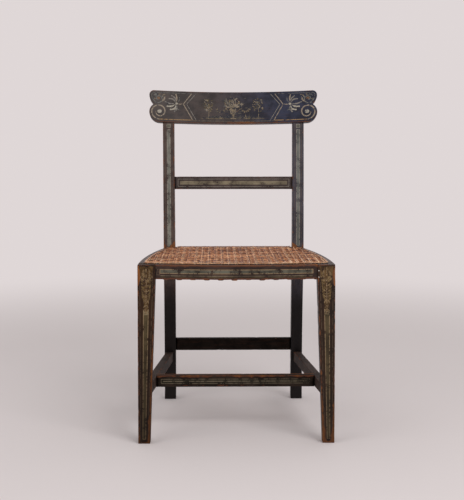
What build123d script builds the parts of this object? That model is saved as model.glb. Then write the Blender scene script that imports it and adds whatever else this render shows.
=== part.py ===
"""Painted and parcel-gilt side chair with a caned seat, built as a joiner builds it.

Millimetres. X runs across the chair, Y from the front to the back, Z up. Left and right are
those of someone who faces the chair. While the pieces are made, Y starts at the front faces of
the front legs. At the end everything moves so that the origin is on the floor, in the middle
of the whole chair's box.
"""
from build123d import *
import math
import os

# Seat frame
SEAT_HEIGHT = 430.0  # floor to the tops of the seat rails
SEAT_DEPTH = 380.0  # front faces of the legs to the front faces of the back posts
FRONT_WIDTH = 470.0  # over the outer faces of the front legs
SEAT_RAIL_HEIGHT = 34.0
SEAT_RAIL_WIDTH = 36.0  # front and side rails, seen from above
FRONT_BOW = 16.0  # how far the front rail swells forward of the legs
SIDE_BOW = 11.5  # how far a side rail swells outward
REAR_RAIL_SETBACK = 4.0  # back of the rear rail to the backs of the posts

# Front legs: the outer and front faces are upright, the other two taper below the rails
LEG_TOP_WIDTH = 42.0
LEG_TOP_DEPTH = 38.0
LEG_FOOT_WIDTH = 28.5
LEG_FOOT_DEPTH = 26.0

# Back posts: rear leg and stile in one piece, sawn to a curve
POST_WIDTH = 31.2
POST_FOOT_SPREAD = 384.0  # over the outer faces of both posts, at the floor
POST_SEAT_SPREAD = 382.0  # the same at the seat
POST_TOP_SPREAD = 389.0  # the same under the crest rail
POST_FOOT_DEPTH = 28.0
POST_SEAT_DEPTH = 34.0
POST_TOP_DEPTH = 24.0
LEG_SWEEP = 52.0  # how far the rear foot kicks back from the seat
SHOULDER_HEIGHT = 773.0  # floor to the front edge of the posts' top shoulders
STILE_LEAN = 55.3  # how far the stile leans back between the seat and that shoulder
RAKE = 11.0  # degrees that the crest rail tips back

# Crest rail: a board bent round the sitter, with two lobes at each end
CREST_WIDTH = 463.0
CREST_HEIGHT = 88.7
CREST_THICKNESS = 22.0
CREST_BOW = 28.0  # middle of the board behind its ends
UPPER_LOBE = 38.7  # height of the upper lobe, from the top edge to the notch
NOTCH_DEPTH = 12.5
UPPER_CORNER_RADIUS = 13.0
LOWER_CORNER_RADIUS = 28.0

# Rail across the back, and the stretchers
CROSS_RAIL_HEIGHT = 34.2
CROSS_RAIL_THICKNESS = 16.0
CROSS_RAIL_CENTRE = 607.0  # floor to its middle
CROSS_RAIL_INSET = 3.0  # its face behind the faces of the posts
SIDE_STRETCHER_HEIGHT = 26.0
SIDE_STRETCHER_THICKNESS = 20.0
STRETCHER_FLOOR_GAP = 108.5  # floor to the undersides of the side and middle stretchers
MIDDLE_STRETCHER_HEIGHT = 28.5
MIDDLE_STRETCHER_THICKNESS = 22.0
MIDDLE_STRETCHER_SETBACK = 120.0  # its front face behind the front faces of the legs
REAR_STRETCHER_HEIGHT = 33.0
REAR_STRETCHER_THICKNESS = 18.0
REAR_STRETCHER_FLOOR_GAP = 138.5

# Mortise-and-tenon joints
SEAT_TENON_THICKNESS = 12.0
SEAT_TENON_DROP = 12.0  # seat top to the tops of the seat rails' tenons
TENON_SHOULDER = 4.0  # narrow shoulder beside a tenon
TENON_COVER = 9.0  # wood of the leg outside the side rail's tenon
TENON_WALL = 3.0  # wood between two mortises in one leg
TENON_ROOT = 3.0  # length of tenon that overlaps its own rail, so that the two are one solid
REAR_TENON_THICKNESS = 10.0
CREST_TENON_WIDTH = 16.0
CREST_TENON_THICKNESS = 10.0
CREST_TENON_HEIGHT = 26.0
TENON_CLEARANCE = 0.1  # all round a tenon in its mortise

# Cane
HOLE_DIAMETER = 4.8
HOLE_PITCH = 16.5
FRONT_HOLE_INSET = 22.0  # hole line behind the front edge of the seat
SIDE_HOLE_INSET = 16.0
REAR_HOLE_INSET = 14.0
POST_HOLE_GAP = 7.0  # hole line to the faces of a post
PEG_LENGTH = 9.0
PEG_CLEARANCE = 0.2
BINDER_WIDTH = 5.0
BINDER_THICKNESS = 2.4
CANE_THICKNESS = 2.0
CANE_EDGE_GAP = 0.2  # cane to the binder beside it
CANE_OPENING = 18.5  # side of each square opening in the sheet that stands for the weave
BLIND_HOLE_FLOOR = 2.0  # wood between a hole in a leg's top and the tenons below it

# Worked out from the sizes above
RAIL_BOTTOM = SEAT_HEIGHT - SEAT_RAIL_HEIGHT
HALF_WIDTH = FRONT_WIDTH / 2
LEG_INNER = HALF_WIDTH - LEG_TOP_WIDTH
POST_SEAT_OUTER = POST_SEAT_SPREAD / 2
POST_SEAT_INNER = POST_SEAT_OUTER - POST_WIDTH
POST_FOOT_Y = SEAT_DEPTH + LEG_SWEEP
SHOULDER_Y = SEAT_DEPTH + STILE_LEAN
REAR_RAIL_THICKNESS = POST_SEAT_DEPTH - REAR_RAIL_SETBACK
REAR_RAIL_BACK = SEAT_DEPTH + REAR_RAIL_THICKNESS
OPENING_PITCH = 2 * HOLE_PITCH  # each opening stands for the weave's openings two by two
REACH = FRONT_WIDTH + SEAT_DEPTH + SHOULDER_HEIGHT  # longer than the chair in any direction

def bow_radius(chord, bow):
    """Radius of the arc that stands bow off the middle of its chord."""
    return (chord**2 / 4 + bow**2) / (2 * bow)


# Arc of the seat's front edge, and of its right-hand side edge
FRONT_RADIUS = bow_radius(2 * LEG_INNER, FRONT_BOW)
FRONT_CENTRE = Vector(0, FRONT_RADIUS - FRONT_BOW)
SIDE_CHORD = Vector(POST_SEAT_OUTER - HALF_WIDTH, SEAT_DEPTH)
SIDE_RADIUS = bow_radius(SIDE_CHORD.length, SIDE_BOW)
SIDE_OUTWARD = Vector(SIDE_CHORD.Y, -SIDE_CHORD.X).normalized()
SIDE_CENTRE = Vector(HALF_WIDTH, 0) + SIDE_CHORD * 0.5 - SIDE_OUTWARD * (SIDE_RADIUS - SIDE_BOW)


def front_view(*points):
    """Block as deep as the chair whose front view is the polygon of the X-Z points."""
    return extrude(Plane.XZ * make_face(Polyline(*points, close=True)), amount=REACH, both=True)


def side_view(outline):
    """Block as wide as the chair whose side view is the Y-Z outline."""
    return extrude(Plane.YZ * make_face(outline), amount=REACH, both=True)


def bar(start, end, thickness, height, lean=0.0, grow=0.0):
    """Level bar between two points. Its top leans back by lean degrees; grow enlarges it."""
    start, end = Vector(*start), Vector(*end)
    run = (end - start).normalized()
    up = Vector(0, math.sin(math.radians(lean)), math.cos(math.radians(lean)))
    section = Rectangle(height + 2 * grow, thickness + 2 * grow)
    length = (end - start).length + 2 * grow
    return Plane(origin=start - run * grow, x_dir=up, z_dir=run) * extrude(section, length)


def both_ends(tenon):
    """A right-hand tenon or mortise with its mirror image."""
    return [tenon, mirror(tenon, Plane.YZ)]


# ---- Faces of the tapered and curved pieces at a given height ----


def between(low, high, share):
    """Value a share of the way from low to high."""
    return low + (high - low) * share


def leg_centre(z):
    """Middle of the right front leg at height z, below the seat rails."""
    width = between(LEG_FOOT_WIDTH, LEG_TOP_WIDTH, z / RAIL_BOTTOM)
    depth = between(LEG_FOOT_DEPTH, LEG_TOP_DEPTH, z / RAIL_BOTTOM)
    return (HALF_WIDTH - width / 2, depth / 2, z)


def post_centre_x(z):
    """Middle of the right post's width at height z."""
    if z < SEAT_HEIGHT:
        spread = between(POST_FOOT_SPREAD, POST_SEAT_SPREAD, z / SEAT_HEIGHT)
    else:
        share = (z - SEAT_HEIGHT) / (SHOULDER_HEIGHT - SEAT_HEIGHT)
        spread = between(POST_SEAT_SPREAD, POST_TOP_SPREAD, share)
    return spread / 2 - POST_WIDTH / 2


def rear_leg_centre(z):
    """Middle of the right rear leg at height z. Both faces are arcs, upright at the floor."""
    faces = []
    for foot_y, sweep in (
        (POST_FOOT_Y, LEG_SWEEP),
        (POST_FOOT_Y + POST_FOOT_DEPTH, LEG_SWEEP + POST_FOOT_DEPTH - POST_SEAT_DEPTH),
    ):
        radius = (RAIL_BOTTOM**2 + sweep**2) / (2 * sweep)
        faces.append(foot_y - radius + math.sqrt(radius**2 - z**2))
    return (post_centre_x(z), sum(faces) / 2, z)


def stile_face(z):
    """Depth and lean in degrees of the stile's front face at height z above the seat."""
    rake = math.radians(RAKE)
    square = STILE_LEAN**2 + (SHOULDER_HEIGHT - SEAT_HEIGHT) ** 2
    across = STILE_LEAN * math.cos(rake) - (SHOULDER_HEIGHT - SEAT_HEIGHT) * math.sin(rake)
    radius = -square / (2 * across)
    centre_y = SHOULDER_Y + radius * math.cos(rake)
    centre_z = SHOULDER_HEIGHT - radius * math.sin(rake)
    lean = math.asin((z - centre_z) / radius)
    return centre_y - radius * math.cos(lean), math.degrees(lean)


# ---- Crest rail ----

# Frame of the crest: its origin lies between the posts' shoulders, its Z leans back
CREST_FRAME = Plane(
    origin=(0, SHOULDER_Y, SHOULDER_HEIGHT),
    x_dir=(1, 0, 0),
    z_dir=(0, math.sin(math.radians(RAKE)), math.cos(math.radians(RAKE))),
)


def crest_tenon(grow=0.0):
    """Tenon on the right post's top, in the crest's frame."""
    size = (CREST_TENON_WIDTH, CREST_TENON_THICKNESS, CREST_TENON_HEIGHT + TENON_ROOT)
    block = Box(*(side + 2 * grow for side in size), align=(Align.CENTER, Align.CENTER, Align.MIN))
    centre_x = POST_TOP_SPREAD / 2 - POST_WIDTH / 2
    return Pos(centre_x, CREST_THICKNESS / 2, -TENON_ROOT - grow) * block


def crest_outline():
    """Front view of the crest: straight edges, and two lobes with a notch between at each end."""
    half = CREST_WIDTH / 2
    top = CREST_HEIGHT
    upper_bulge = (half, top - UPPER_CORNER_RADIUS)
    lower_bulge = (half, LOWER_CORNER_RADIUS)
    notch = (half - NOTCH_DEPTH, top - UPPER_LOBE)
    right = [
        Line((0, top), (half - UPPER_CORNER_RADIUS, top)),
        TangentArc((half - UPPER_CORNER_RADIUS, top), upper_bulge, tangent=(1, 0)),
        TangentArc(upper_bulge, notch, tangent=(0, -1)),
        TangentArc(lower_bulge, notch, tangent=(0, 1)),
        TangentArc(lower_bulge, (half - LOWER_CORNER_RADIUS, 0), tangent=(0, -1)),
        Line((half - LOWER_CORNER_RADIUS, 0), (0, 0)),
    ]
    left = [mirror(edge, Plane.YZ) for edge in right]
    return make_face([edge.edges()[0] for edge in right + left])


def crest_rail():
    """Board between two concentric arcs, sawn to its outline, mortised for the posts."""
    radius = bow_radius(CREST_WIDTH, CREST_BOW)
    post_x = POST_TOP_SPREAD / 2 - POST_WIDTH / 2
    middle_y = radius - math.sqrt(radius**2 - post_x**2)
    ring = Circle(radius + CREST_THICKNESS) - Circle(radius)
    board = Pos(0, middle_y - radius) * extrude(ring, CREST_HEIGHT)
    sawn = extrude(Plane.XZ * crest_outline(), amount=radius / 2, both=True)
    crest = board & sawn
    for mortise in both_ends(crest_tenon(TENON_CLEARANCE)):
        crest -= mortise
    return CREST_FRAME * crest


# ---- Back posts, the rail between them and the rear stretcher ----


def post_blank():
    """Right back post with its crest tenon, before it is mortised."""
    rake = math.radians(RAKE)
    downward = (-math.sin(rake), -math.cos(rake))
    shoulder_front = (SHOULDER_Y, SHOULDER_HEIGHT)
    shoulder_back = (
        SHOULDER_Y + POST_TOP_DEPTH * math.cos(rake),
        SHOULDER_HEIGHT - POST_TOP_DEPTH * math.sin(rake),
    )
    seat_back = SEAT_DEPTH + POST_SEAT_DEPTH
    foot_back = POST_FOOT_Y + POST_FOOT_DEPTH
    side = [
        Line((POST_FOOT_Y, 0), (foot_back, 0)),
        TangentArc((foot_back, 0), (seat_back, RAIL_BOTTOM), tangent=(0, 1)),
        Line((seat_back, RAIL_BOTTOM), (seat_back, SEAT_HEIGHT)),
        TangentArc(shoulder_back, (seat_back, SEAT_HEIGHT), tangent=downward),
        Line(shoulder_back, shoulder_front),
        TangentArc(shoulder_front, (SEAT_DEPTH, SEAT_HEIGHT), tangent=downward),
        Line((SEAT_DEPTH, SEAT_HEIGHT), (SEAT_DEPTH, RAIL_BOTTOM)),
        TangentArc((POST_FOOT_Y, 0), (SEAT_DEPTH, RAIL_BOTTOM), tangent=(0, 1)),
    ]
    foot, seat, top = POST_FOOT_SPREAD / 2, POST_SEAT_SPREAD / 2, POST_TOP_SPREAD / 2
    front = front_view(
        (foot, 0),
        (seat, SEAT_HEIGHT),
        (top, SHOULDER_HEIGHT),
        (top - POST_WIDTH, SHOULDER_HEIGHT),
        (seat - POST_WIDTH, SEAT_HEIGHT),
        (foot - POST_WIDTH, 0),
    )
    return (side_view([edge.edges()[0] for edge in side]) & front) + CREST_FRAME * crest_tenon()


def cross_rail_bar(thickness, height, grow=0.0):
    """Bar across the back, from the middle of one post to the middle of the other."""
    face_y, lean = stile_face(CROSS_RAIL_CENTRE)
    inward = CROSS_RAIL_INSET + CROSS_RAIL_THICKNESS / 2
    y = face_y + inward * math.cos(math.radians(lean))
    z = CROSS_RAIL_CENTRE - inward * math.sin(math.radians(lean))
    x = post_centre_x(z)
    return bar((-x, y, z), (x, y, z), thickness, height, lean, grow)


def rear_stretcher_bar(thickness, height, grow=0.0):
    """Bar between the middles of the two rear legs."""
    x, y, z = rear_leg_centre(REAR_STRETCHER_FLOOR_GAP + REAR_STRETCHER_HEIGHT / 2)
    return bar((-x, y, z), (x, y, z), thickness, height, 0.0, grow)


def tenon_size(thickness, height):
    """Section of the tenon on a bar: shoulders on all four sides."""
    return thickness - 2 * TENON_SHOULDER, height - 2 * TENON_SHOULDER


# ---- Side stretchers and the stretcher between them ----


def side_stretcher_bar(thickness, height, grow=0.0):
    """Bar from the middle of the right front leg to the middle of the right rear leg."""
    z = STRETCHER_FLOOR_GAP + SIDE_STRETCHER_HEIGHT / 2
    return bar(leg_centre(z), rear_leg_centre(z), thickness, height, 0.0, grow)


def middle_stretcher_bar(thickness, height, grow=0.0):
    """Bar across, between the middles of the side stretchers, on the level of their undersides."""
    side_z = STRETCHER_FLOOR_GAP + SIDE_STRETCHER_HEIGHT / 2
    front, rear = leg_centre(side_z), rear_leg_centre(side_z)
    y = MIDDLE_STRETCHER_SETBACK + MIDDLE_STRETCHER_THICKNESS / 2
    x = between(front[0], rear[0], (y - front[1]) / (rear[1] - front[1]))
    z = STRETCHER_FLOOR_GAP + height / 2
    return bar((-x, y, z), (x, y, z), thickness, height, 0.0, grow)


def middle_stretcher_tenon(grow=0.0):
    """Both tenons of the middle stretcher, as one bar between the side stretchers."""
    size = tenon_size(MIDDLE_STRETCHER_THICKNESS, SIDE_STRETCHER_HEIGHT)
    return Pos(0, 0, TENON_SHOULDER) * middle_stretcher_bar(*size, grow)


# ---- Seat rails ----

SEAT_TENON_HEIGHT = SEAT_RAIL_HEIGHT - SEAT_TENON_DROP - TENON_SHOULDER
SEAT_TENON_Z = RAIL_BOTTOM + TENON_SHOULDER + SEAT_TENON_HEIGHT / 2


def front_rail_tenon(grow=0.0):
    """Right-hand tenon of the front rail. It stops short of the side rail's tenon."""
    length = LEG_TOP_WIDTH - TENON_COVER - SEAT_TENON_THICKNESS - TENON_WALL
    y = LEG_TOP_DEPTH / 2
    start = (LEG_INNER - TENON_ROOT, y, SEAT_TENON_Z)
    end = (LEG_INNER + length, y, SEAT_TENON_Z)
    return bar(start, end, SEAT_TENON_THICKNESS, SEAT_TENON_HEIGHT, 0.0, grow)


def side_rail_leg_tenon(grow=0.0):
    """Tenon of the right side rail in the front leg, to the middle of the leg."""
    x = HALF_WIDTH - TENON_COVER - SEAT_TENON_THICKNESS / 2
    start = (x, LEG_TOP_DEPTH / 2, SEAT_TENON_Z)
    end = (x, LEG_TOP_DEPTH + TENON_ROOT, SEAT_TENON_Z)
    return bar(start, end, SEAT_TENON_THICKNESS, SEAT_TENON_HEIGHT, 0.0, grow)


def side_rail_post_tenon(grow=0.0):
    """Tenon of the right side rail in the back post. It stops short of the rear rail's tenon."""
    x = POST_SEAT_OUTER - POST_WIDTH / 2
    length = REAR_RAIL_THICKNESS - TENON_SHOULDER - REAR_TENON_THICKNESS - TENON_WALL
    start = (x, SEAT_DEPTH - TENON_ROOT, SEAT_TENON_Z)
    end = (x, SEAT_DEPTH + length, SEAT_TENON_Z)
    return bar(start, end, SEAT_TENON_THICKNESS, SEAT_TENON_HEIGHT, 0.0, grow)


def rear_rail_bar(grow=0.0):
    """Tenons of the rear rail, as one bar between the middles of the posts."""
    y = REAR_RAIL_BACK - TENON_SHOULDER - REAR_TENON_THICKNESS / 2
    x = POST_SEAT_OUTER - POST_WIDTH / 2
    start, end = (-x, y, SEAT_TENON_Z), (x, y, SEAT_TENON_Z)
    return bar(start, end, REAR_TENON_THICKNESS, SEAT_TENON_HEIGHT, 0.0, grow)


def side_disc(inset, side=1):
    """Everything inside the seat's right or left edge, moved in by inset."""
    return Pos(side * SIDE_CENTRE.X, SIDE_CENTRE.Y) * Circle(SIDE_RADIUS - inset)


def front_disc(inset):
    """Everything behind the seat's front edge, moved back by inset."""
    return Pos(FRONT_CENTRE.X, FRONT_CENTRE.Y) * Circle(FRONT_RADIUS - inset)


def window(x_low, x_high, y_low, y_high):
    """Rectangle between two X and two Y values, seen from above."""
    size = Rectangle(x_high - x_low, y_high - y_low, align=(Align.MIN, Align.MIN))
    return Pos(x_low, y_low) * size


def cane_field(grow):
    """Ground that the cane covers, out to the hole lines, enlarged all round by grow."""
    rear = REAR_RAIL_BACK - REAR_HOLE_INSET + grow
    field = front_disc(FRONT_HOLE_INSET - grow) & window(-HALF_WIDTH, HALF_WIDTH, 0, rear)
    notch_x = POST_SEAT_INNER - POST_HOLE_GAP + grow
    notch_y = SEAT_DEPTH - POST_HOLE_GAP + grow
    for side in (1, -1):
        field &= side_disc(SIDE_HOLE_INSET - grow, side)
    field -= window(notch_x, FRONT_WIDTH, notch_y, REACH)
    field -= window(-FRONT_WIDTH, -notch_x, notch_y, REACH)
    return field


def cane_holes():
    """Hole centres, evenly spaced along the front, both sides and the rear."""
    centres = []
    for edge in cane_field(0.0).edges():
        if edge.length > 3 * HOLE_PITCH:
            count = round(edge.length / HOLE_PITCH)
            for step in range(count + 1):
                point = edge @ (step / count)
                if all((point - other).length > HOLE_DIAMETER for other in centres):
                    centres.append(point)
    return [(centre.X, centre.Y) for centre in centres]


def drilled(plan, holes):
    """Plan of a rail with the holes that fall inside it."""
    box = plan.bounding_box()
    for x, y in holes:
        if box.min.X < x < box.max.X and box.min.Y < y < box.max.Y:
            plan -= Pos(x, y) * Circle(HOLE_DIAMETER / 2)
    return plan


def seat_rail(plan, holes):
    """Rail cut from its plan, drilled for the cane."""
    return Pos(0, 0, RAIL_BOTTOM) * extrude(drilled(plan, holes), SEAT_RAIL_HEIGHT)


def front_seat_rail(holes):
    """Bowed rail between the front legs."""
    span = window(-LEG_INNER, LEG_INNER, -FRONT_BOW, SEAT_DEPTH / 2)
    rail = seat_rail((front_disc(0.0) - front_disc(SEAT_RAIL_WIDTH)) & span, holes)
    for tenon in both_ends(front_rail_tenon()):
        rail += tenon
    return rail


def right_seat_rail(holes):
    """Bowed rail from the right front leg to the right post."""
    span = window(0, FRONT_WIDTH, LEG_TOP_DEPTH, SEAT_DEPTH)
    rail = seat_rail((side_disc(0.0) - side_disc(SEAT_RAIL_WIDTH)) & span, holes)
    return rail + side_rail_leg_tenon() + side_rail_post_tenon()


def rear_seat_rail(holes, post_blanks):
    """Straight rail between the posts."""
    half = POST_SEAT_OUTER - POST_WIDTH / 2
    rail = seat_rail(window(-half, half, SEAT_DEPTH, REAR_RAIL_BACK), holes)
    for post in post_blanks:
        rail -= post
    return rail + rear_rail_bar()


# ---- Front legs ----


def leg_blank():
    """Right front leg before it is mortised and drilled."""
    front = front_view(
        (HALF_WIDTH, 0),
        (HALF_WIDTH, SEAT_HEIGHT),
        (LEG_INNER, SEAT_HEIGHT),
        (LEG_INNER, RAIL_BOTTOM),
        (HALF_WIDTH - LEG_FOOT_WIDTH, 0),
    )
    side = side_view(
        Polyline(
            (0, 0),
            (LEG_FOOT_DEPTH, 0),
            (LEG_TOP_DEPTH, RAIL_BOTTOM),
            (LEG_TOP_DEPTH, SEAT_HEIGHT),
            (0, SEAT_HEIGHT),
            close=True,
        )
    )
    return front & side


def right_front_leg(holes):
    """Front leg with the mortises of two rails and a stretcher, and holes for the cane."""
    leg = leg_blank()
    leg -= front_rail_tenon(TENON_CLEARANCE)
    leg -= side_rail_leg_tenon(TENON_CLEARANCE)
    leg -= side_stretcher_bar(
        *tenon_size(SIDE_STRETCHER_THICKNESS, SIDE_STRETCHER_HEIGHT), TENON_CLEARANCE
    )
    depth = SEAT_TENON_DROP - BLIND_HOLE_FLOOR
    for x, y in holes:
        if x > LEG_INNER and y < LEG_TOP_DEPTH:
            leg -= Pos(x, y, SEAT_HEIGHT - depth / 2) * Cylinder(HOLE_DIAMETER / 2, depth)
    return leg


def right_back_post():
    """Back post with the mortises of three rails and two stretchers."""
    post = post_blank()
    post -= side_rail_post_tenon(TENON_CLEARANCE)
    post -= rear_rail_bar(TENON_CLEARANCE)
    post -= side_stretcher_bar(
        *tenon_size(SIDE_STRETCHER_THICKNESS, SIDE_STRETCHER_HEIGHT), TENON_CLEARANCE
    )
    post -= cross_rail_bar(
        *tenon_size(CROSS_RAIL_THICKNESS, CROSS_RAIL_HEIGHT), TENON_CLEARANCE
    )
    post -= rear_stretcher_bar(
        *tenon_size(REAR_STRETCHER_THICKNESS, REAR_STRETCHER_HEIGHT), TENON_CLEARANCE
    )
    return post


# ---- Cane seat ----


def over_open_seat(x, y):
    """Whether a point lies over the space that the seat rails leave open."""
    point = Vector(abs(x), y)
    return (
        (point - FRONT_CENTRE).length < FRONT_RADIUS - SEAT_RAIL_WIDTH
        and (point - SIDE_CENTRE).length < SIDE_RADIUS - SEAT_RAIL_WIDTH
        and y < SEAT_DEPTH
    )


def cane_openings():
    """Square openings in rows and columns, where the whole of each is over the open seat."""
    half = CANE_OPENING / 2
    columns = math.floor((HALF_WIDTH - SEAT_RAIL_WIDTH) / OPENING_PITCH)
    rows = math.floor(SEAT_DEPTH / OPENING_PITCH)
    openings = []
    for column in range(-columns, columns):
        for row in range(rows):
            x = (column + 0.5) * OPENING_PITCH
            y = SEAT_DEPTH - (row + 0.5) * OPENING_PITCH
            corners = [(x + dx, y + dy) for dx in (-half, half) for dy in (-half, half)]
            if all(over_open_seat(*corner) for corner in corners):
                openings.append(Pos(x, y) * Rectangle(CANE_OPENING, CANE_OPENING))
    return openings


def cane_panel():
    """Woven cane as one thin sheet with a grid of openings, on the rails, inside its binder."""
    sheet = cane_field(-BINDER_WIDTH / 2 - CANE_EDGE_GAP) - cane_openings()
    return Pos(0, 0, SEAT_HEIGHT) * extrude(sheet, CANE_THICKNESS)


def cane_binder():
    """Broad strand that covers the holes all round the cane."""
    ring = cane_field(BINDER_WIDTH / 2) - cane_field(-BINDER_WIDTH / 2)
    return Pos(0, 0, SEAT_HEIGHT) * extrude(ring, BINDER_THICKNESS)


def cane_pegs(holes):
    """Pegs that wedge the strands, in every second hole, flush with the wood."""
    peg = Cylinder(HOLE_DIAMETER / 2 - PEG_CLEARANCE, PEG_LENGTH)
    z = SEAT_HEIGHT - PEG_LENGTH / 2
    return Compound([Pos(x, y, z) * peg for x, y in holes[::2]])


# ---- Rails and stretchers fitted to their neighbours ----


def fitted(make_bar, thickness, height, neighbours):
    """Bar cut off at the neighbours' faces, with a tenon into each of them."""
    body = make_bar(thickness, height)
    for neighbour in neighbours:
        body -= neighbour
    return body + make_bar(*tenon_size(thickness, height))


def right_side_stretcher():
    """Stretcher between the right legs, mortised for the middle stretcher."""
    neighbours = [leg_blank(), post_blank()]
    size = (SIDE_STRETCHER_THICKNESS, SIDE_STRETCHER_HEIGHT)
    return fitted(side_stretcher_bar, *size, neighbours) - middle_stretcher_tenon(TENON_CLEARANCE)


def middle_stretcher():
    """Stretcher across, its ends cut off at the inner faces of the side stretchers."""
    body = middle_stretcher_bar(MIDDLE_STRETCHER_THICKNESS, MIDDLE_STRETCHER_HEIGHT)
    for cut in both_ends(side_stretcher_bar(SIDE_STRETCHER_THICKNESS, STRETCHER_FLOOR_GAP)):
        body -= cut
    return body + middle_stretcher_tenon()


# ---- The whole chair ----


def chair():
    """Every piece under its name, standing where it is built."""
    holes = cane_holes()
    post_blanks = both_ends(post_blank())
    pieces = {
        "crest_rail": crest_rail(),
        "back_cross_rail": fitted(
            cross_rail_bar, CROSS_RAIL_THICKNESS, CROSS_RAIL_HEIGHT, post_blanks
        ),
        "rear_stretcher": fitted(
            rear_stretcher_bar, REAR_STRETCHER_THICKNESS, REAR_STRETCHER_HEIGHT, post_blanks
        ),
        "middle_stretcher": middle_stretcher(),
        "front_seat_rail": front_seat_rail(holes),
        "rear_seat_rail": rear_seat_rail(holes, post_blanks),
        "cane_panel": cane_panel(),
        "cane_binder": cane_binder(),
        "cane_pegs": cane_pegs(holes),
    }
    right_hand = {
        "back_post": right_back_post(),
        "front_leg": right_front_leg(holes),
        "side_seat_rail": right_seat_rail(holes),
        "side_stretcher": right_side_stretcher(),
    }
    for name, piece in right_hand.items():
        pieces["right_" + name] = piece
        pieces["left_" + name] = mirror(piece, Plane.YZ)
    return pieces


os.makedirs("parts", exist_ok=True)
CHAIR = chair()
BOX = Compound(list(CHAIR.values())).bounding_box()
TO_ORIGIN = Pos(-BOX.center().X, -BOX.center().Y, -BOX.min.Z)
for node, piece in CHAIR.items():
    export_step(TO_ORIGIN * piece, f"parts/{node}.step")
print(f"{len(CHAIR)} nodes, {BOX.size.X:.1f} x {BOX.size.Y:.1f} x {BOX.size.Z:.1f} mm")
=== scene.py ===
# %% [markdown]
# # A painted and parcel-gilt side chair with a caned seat
# The joiner's pieces come packed as a fixed frame: that is their real size and place. This
# script dresses them. It makes each stick of wood again with eased, worn edges, paints and
# gilds it, and weaves the cane. The solids could have been painted as they are, but they have
# sharp edges and few points, and wear needs more. Blender works in metres here, with Z up, and
# the front of the seat faces -Y.

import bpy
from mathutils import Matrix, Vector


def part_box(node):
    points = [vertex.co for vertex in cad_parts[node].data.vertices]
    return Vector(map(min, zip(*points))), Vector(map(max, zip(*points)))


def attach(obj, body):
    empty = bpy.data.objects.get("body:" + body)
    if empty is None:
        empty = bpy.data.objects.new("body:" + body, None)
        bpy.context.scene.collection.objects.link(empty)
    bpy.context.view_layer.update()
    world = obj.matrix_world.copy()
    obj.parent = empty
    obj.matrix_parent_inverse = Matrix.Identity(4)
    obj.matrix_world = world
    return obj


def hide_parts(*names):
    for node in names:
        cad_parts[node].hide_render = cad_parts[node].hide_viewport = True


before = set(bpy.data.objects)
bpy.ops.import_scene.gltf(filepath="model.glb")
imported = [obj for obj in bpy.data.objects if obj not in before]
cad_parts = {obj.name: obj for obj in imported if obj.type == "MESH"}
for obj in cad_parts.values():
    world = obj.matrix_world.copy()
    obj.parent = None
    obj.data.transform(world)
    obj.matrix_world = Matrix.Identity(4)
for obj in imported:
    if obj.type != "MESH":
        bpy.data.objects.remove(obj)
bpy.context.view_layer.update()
print("pieces in the frame:", ", ".join(sorted(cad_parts)))

# %% [markdown]
# ## The camera
# The chair is seen from straight ahead, at about the height of a table top. A long lens from
# nearly three metres keeps the legs almost parallel. The camera could be tilted until the feet
# come into view, but a strong tilt makes upright legs lean together. A small downward shift of
# the lens does the same without that, as in a view camera, and little tilt is left.

# %% The camera
import math

import bpy
import numpy as np
from mathutils import Vector, geometry

camera_data = bpy.data.cameras.new("camera")
camera_data.lens = 76.1
camera_data.shift_x = -0.0008
camera_data.shift_y = -0.0977
camera = bpy.data.objects.new("camera", camera_data)
camera.location = (-0.0510, -2.7276, 0.7335)
camera.rotation_euler = (math.radians(86.5), 0, math.radians(-0.946))
bpy.context.scene.collection.objects.link(camera)
bpy.context.scene.camera = camera
bpy.context.scene.view_settings.view_transform = "Standard"
print("camera", round(camera.location.length, 2), "m from the chair")

# %% [markdown]
# ## A way to write materials
# A material in Blender is a tree of nodes. Written out by hand it is long and hard to read, so
# this small class lets a finish be written like a recipe: each line adds one node and hands on
# its result, and a plain number can stand wherever a result can.

# %% Recipes for materials


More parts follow.
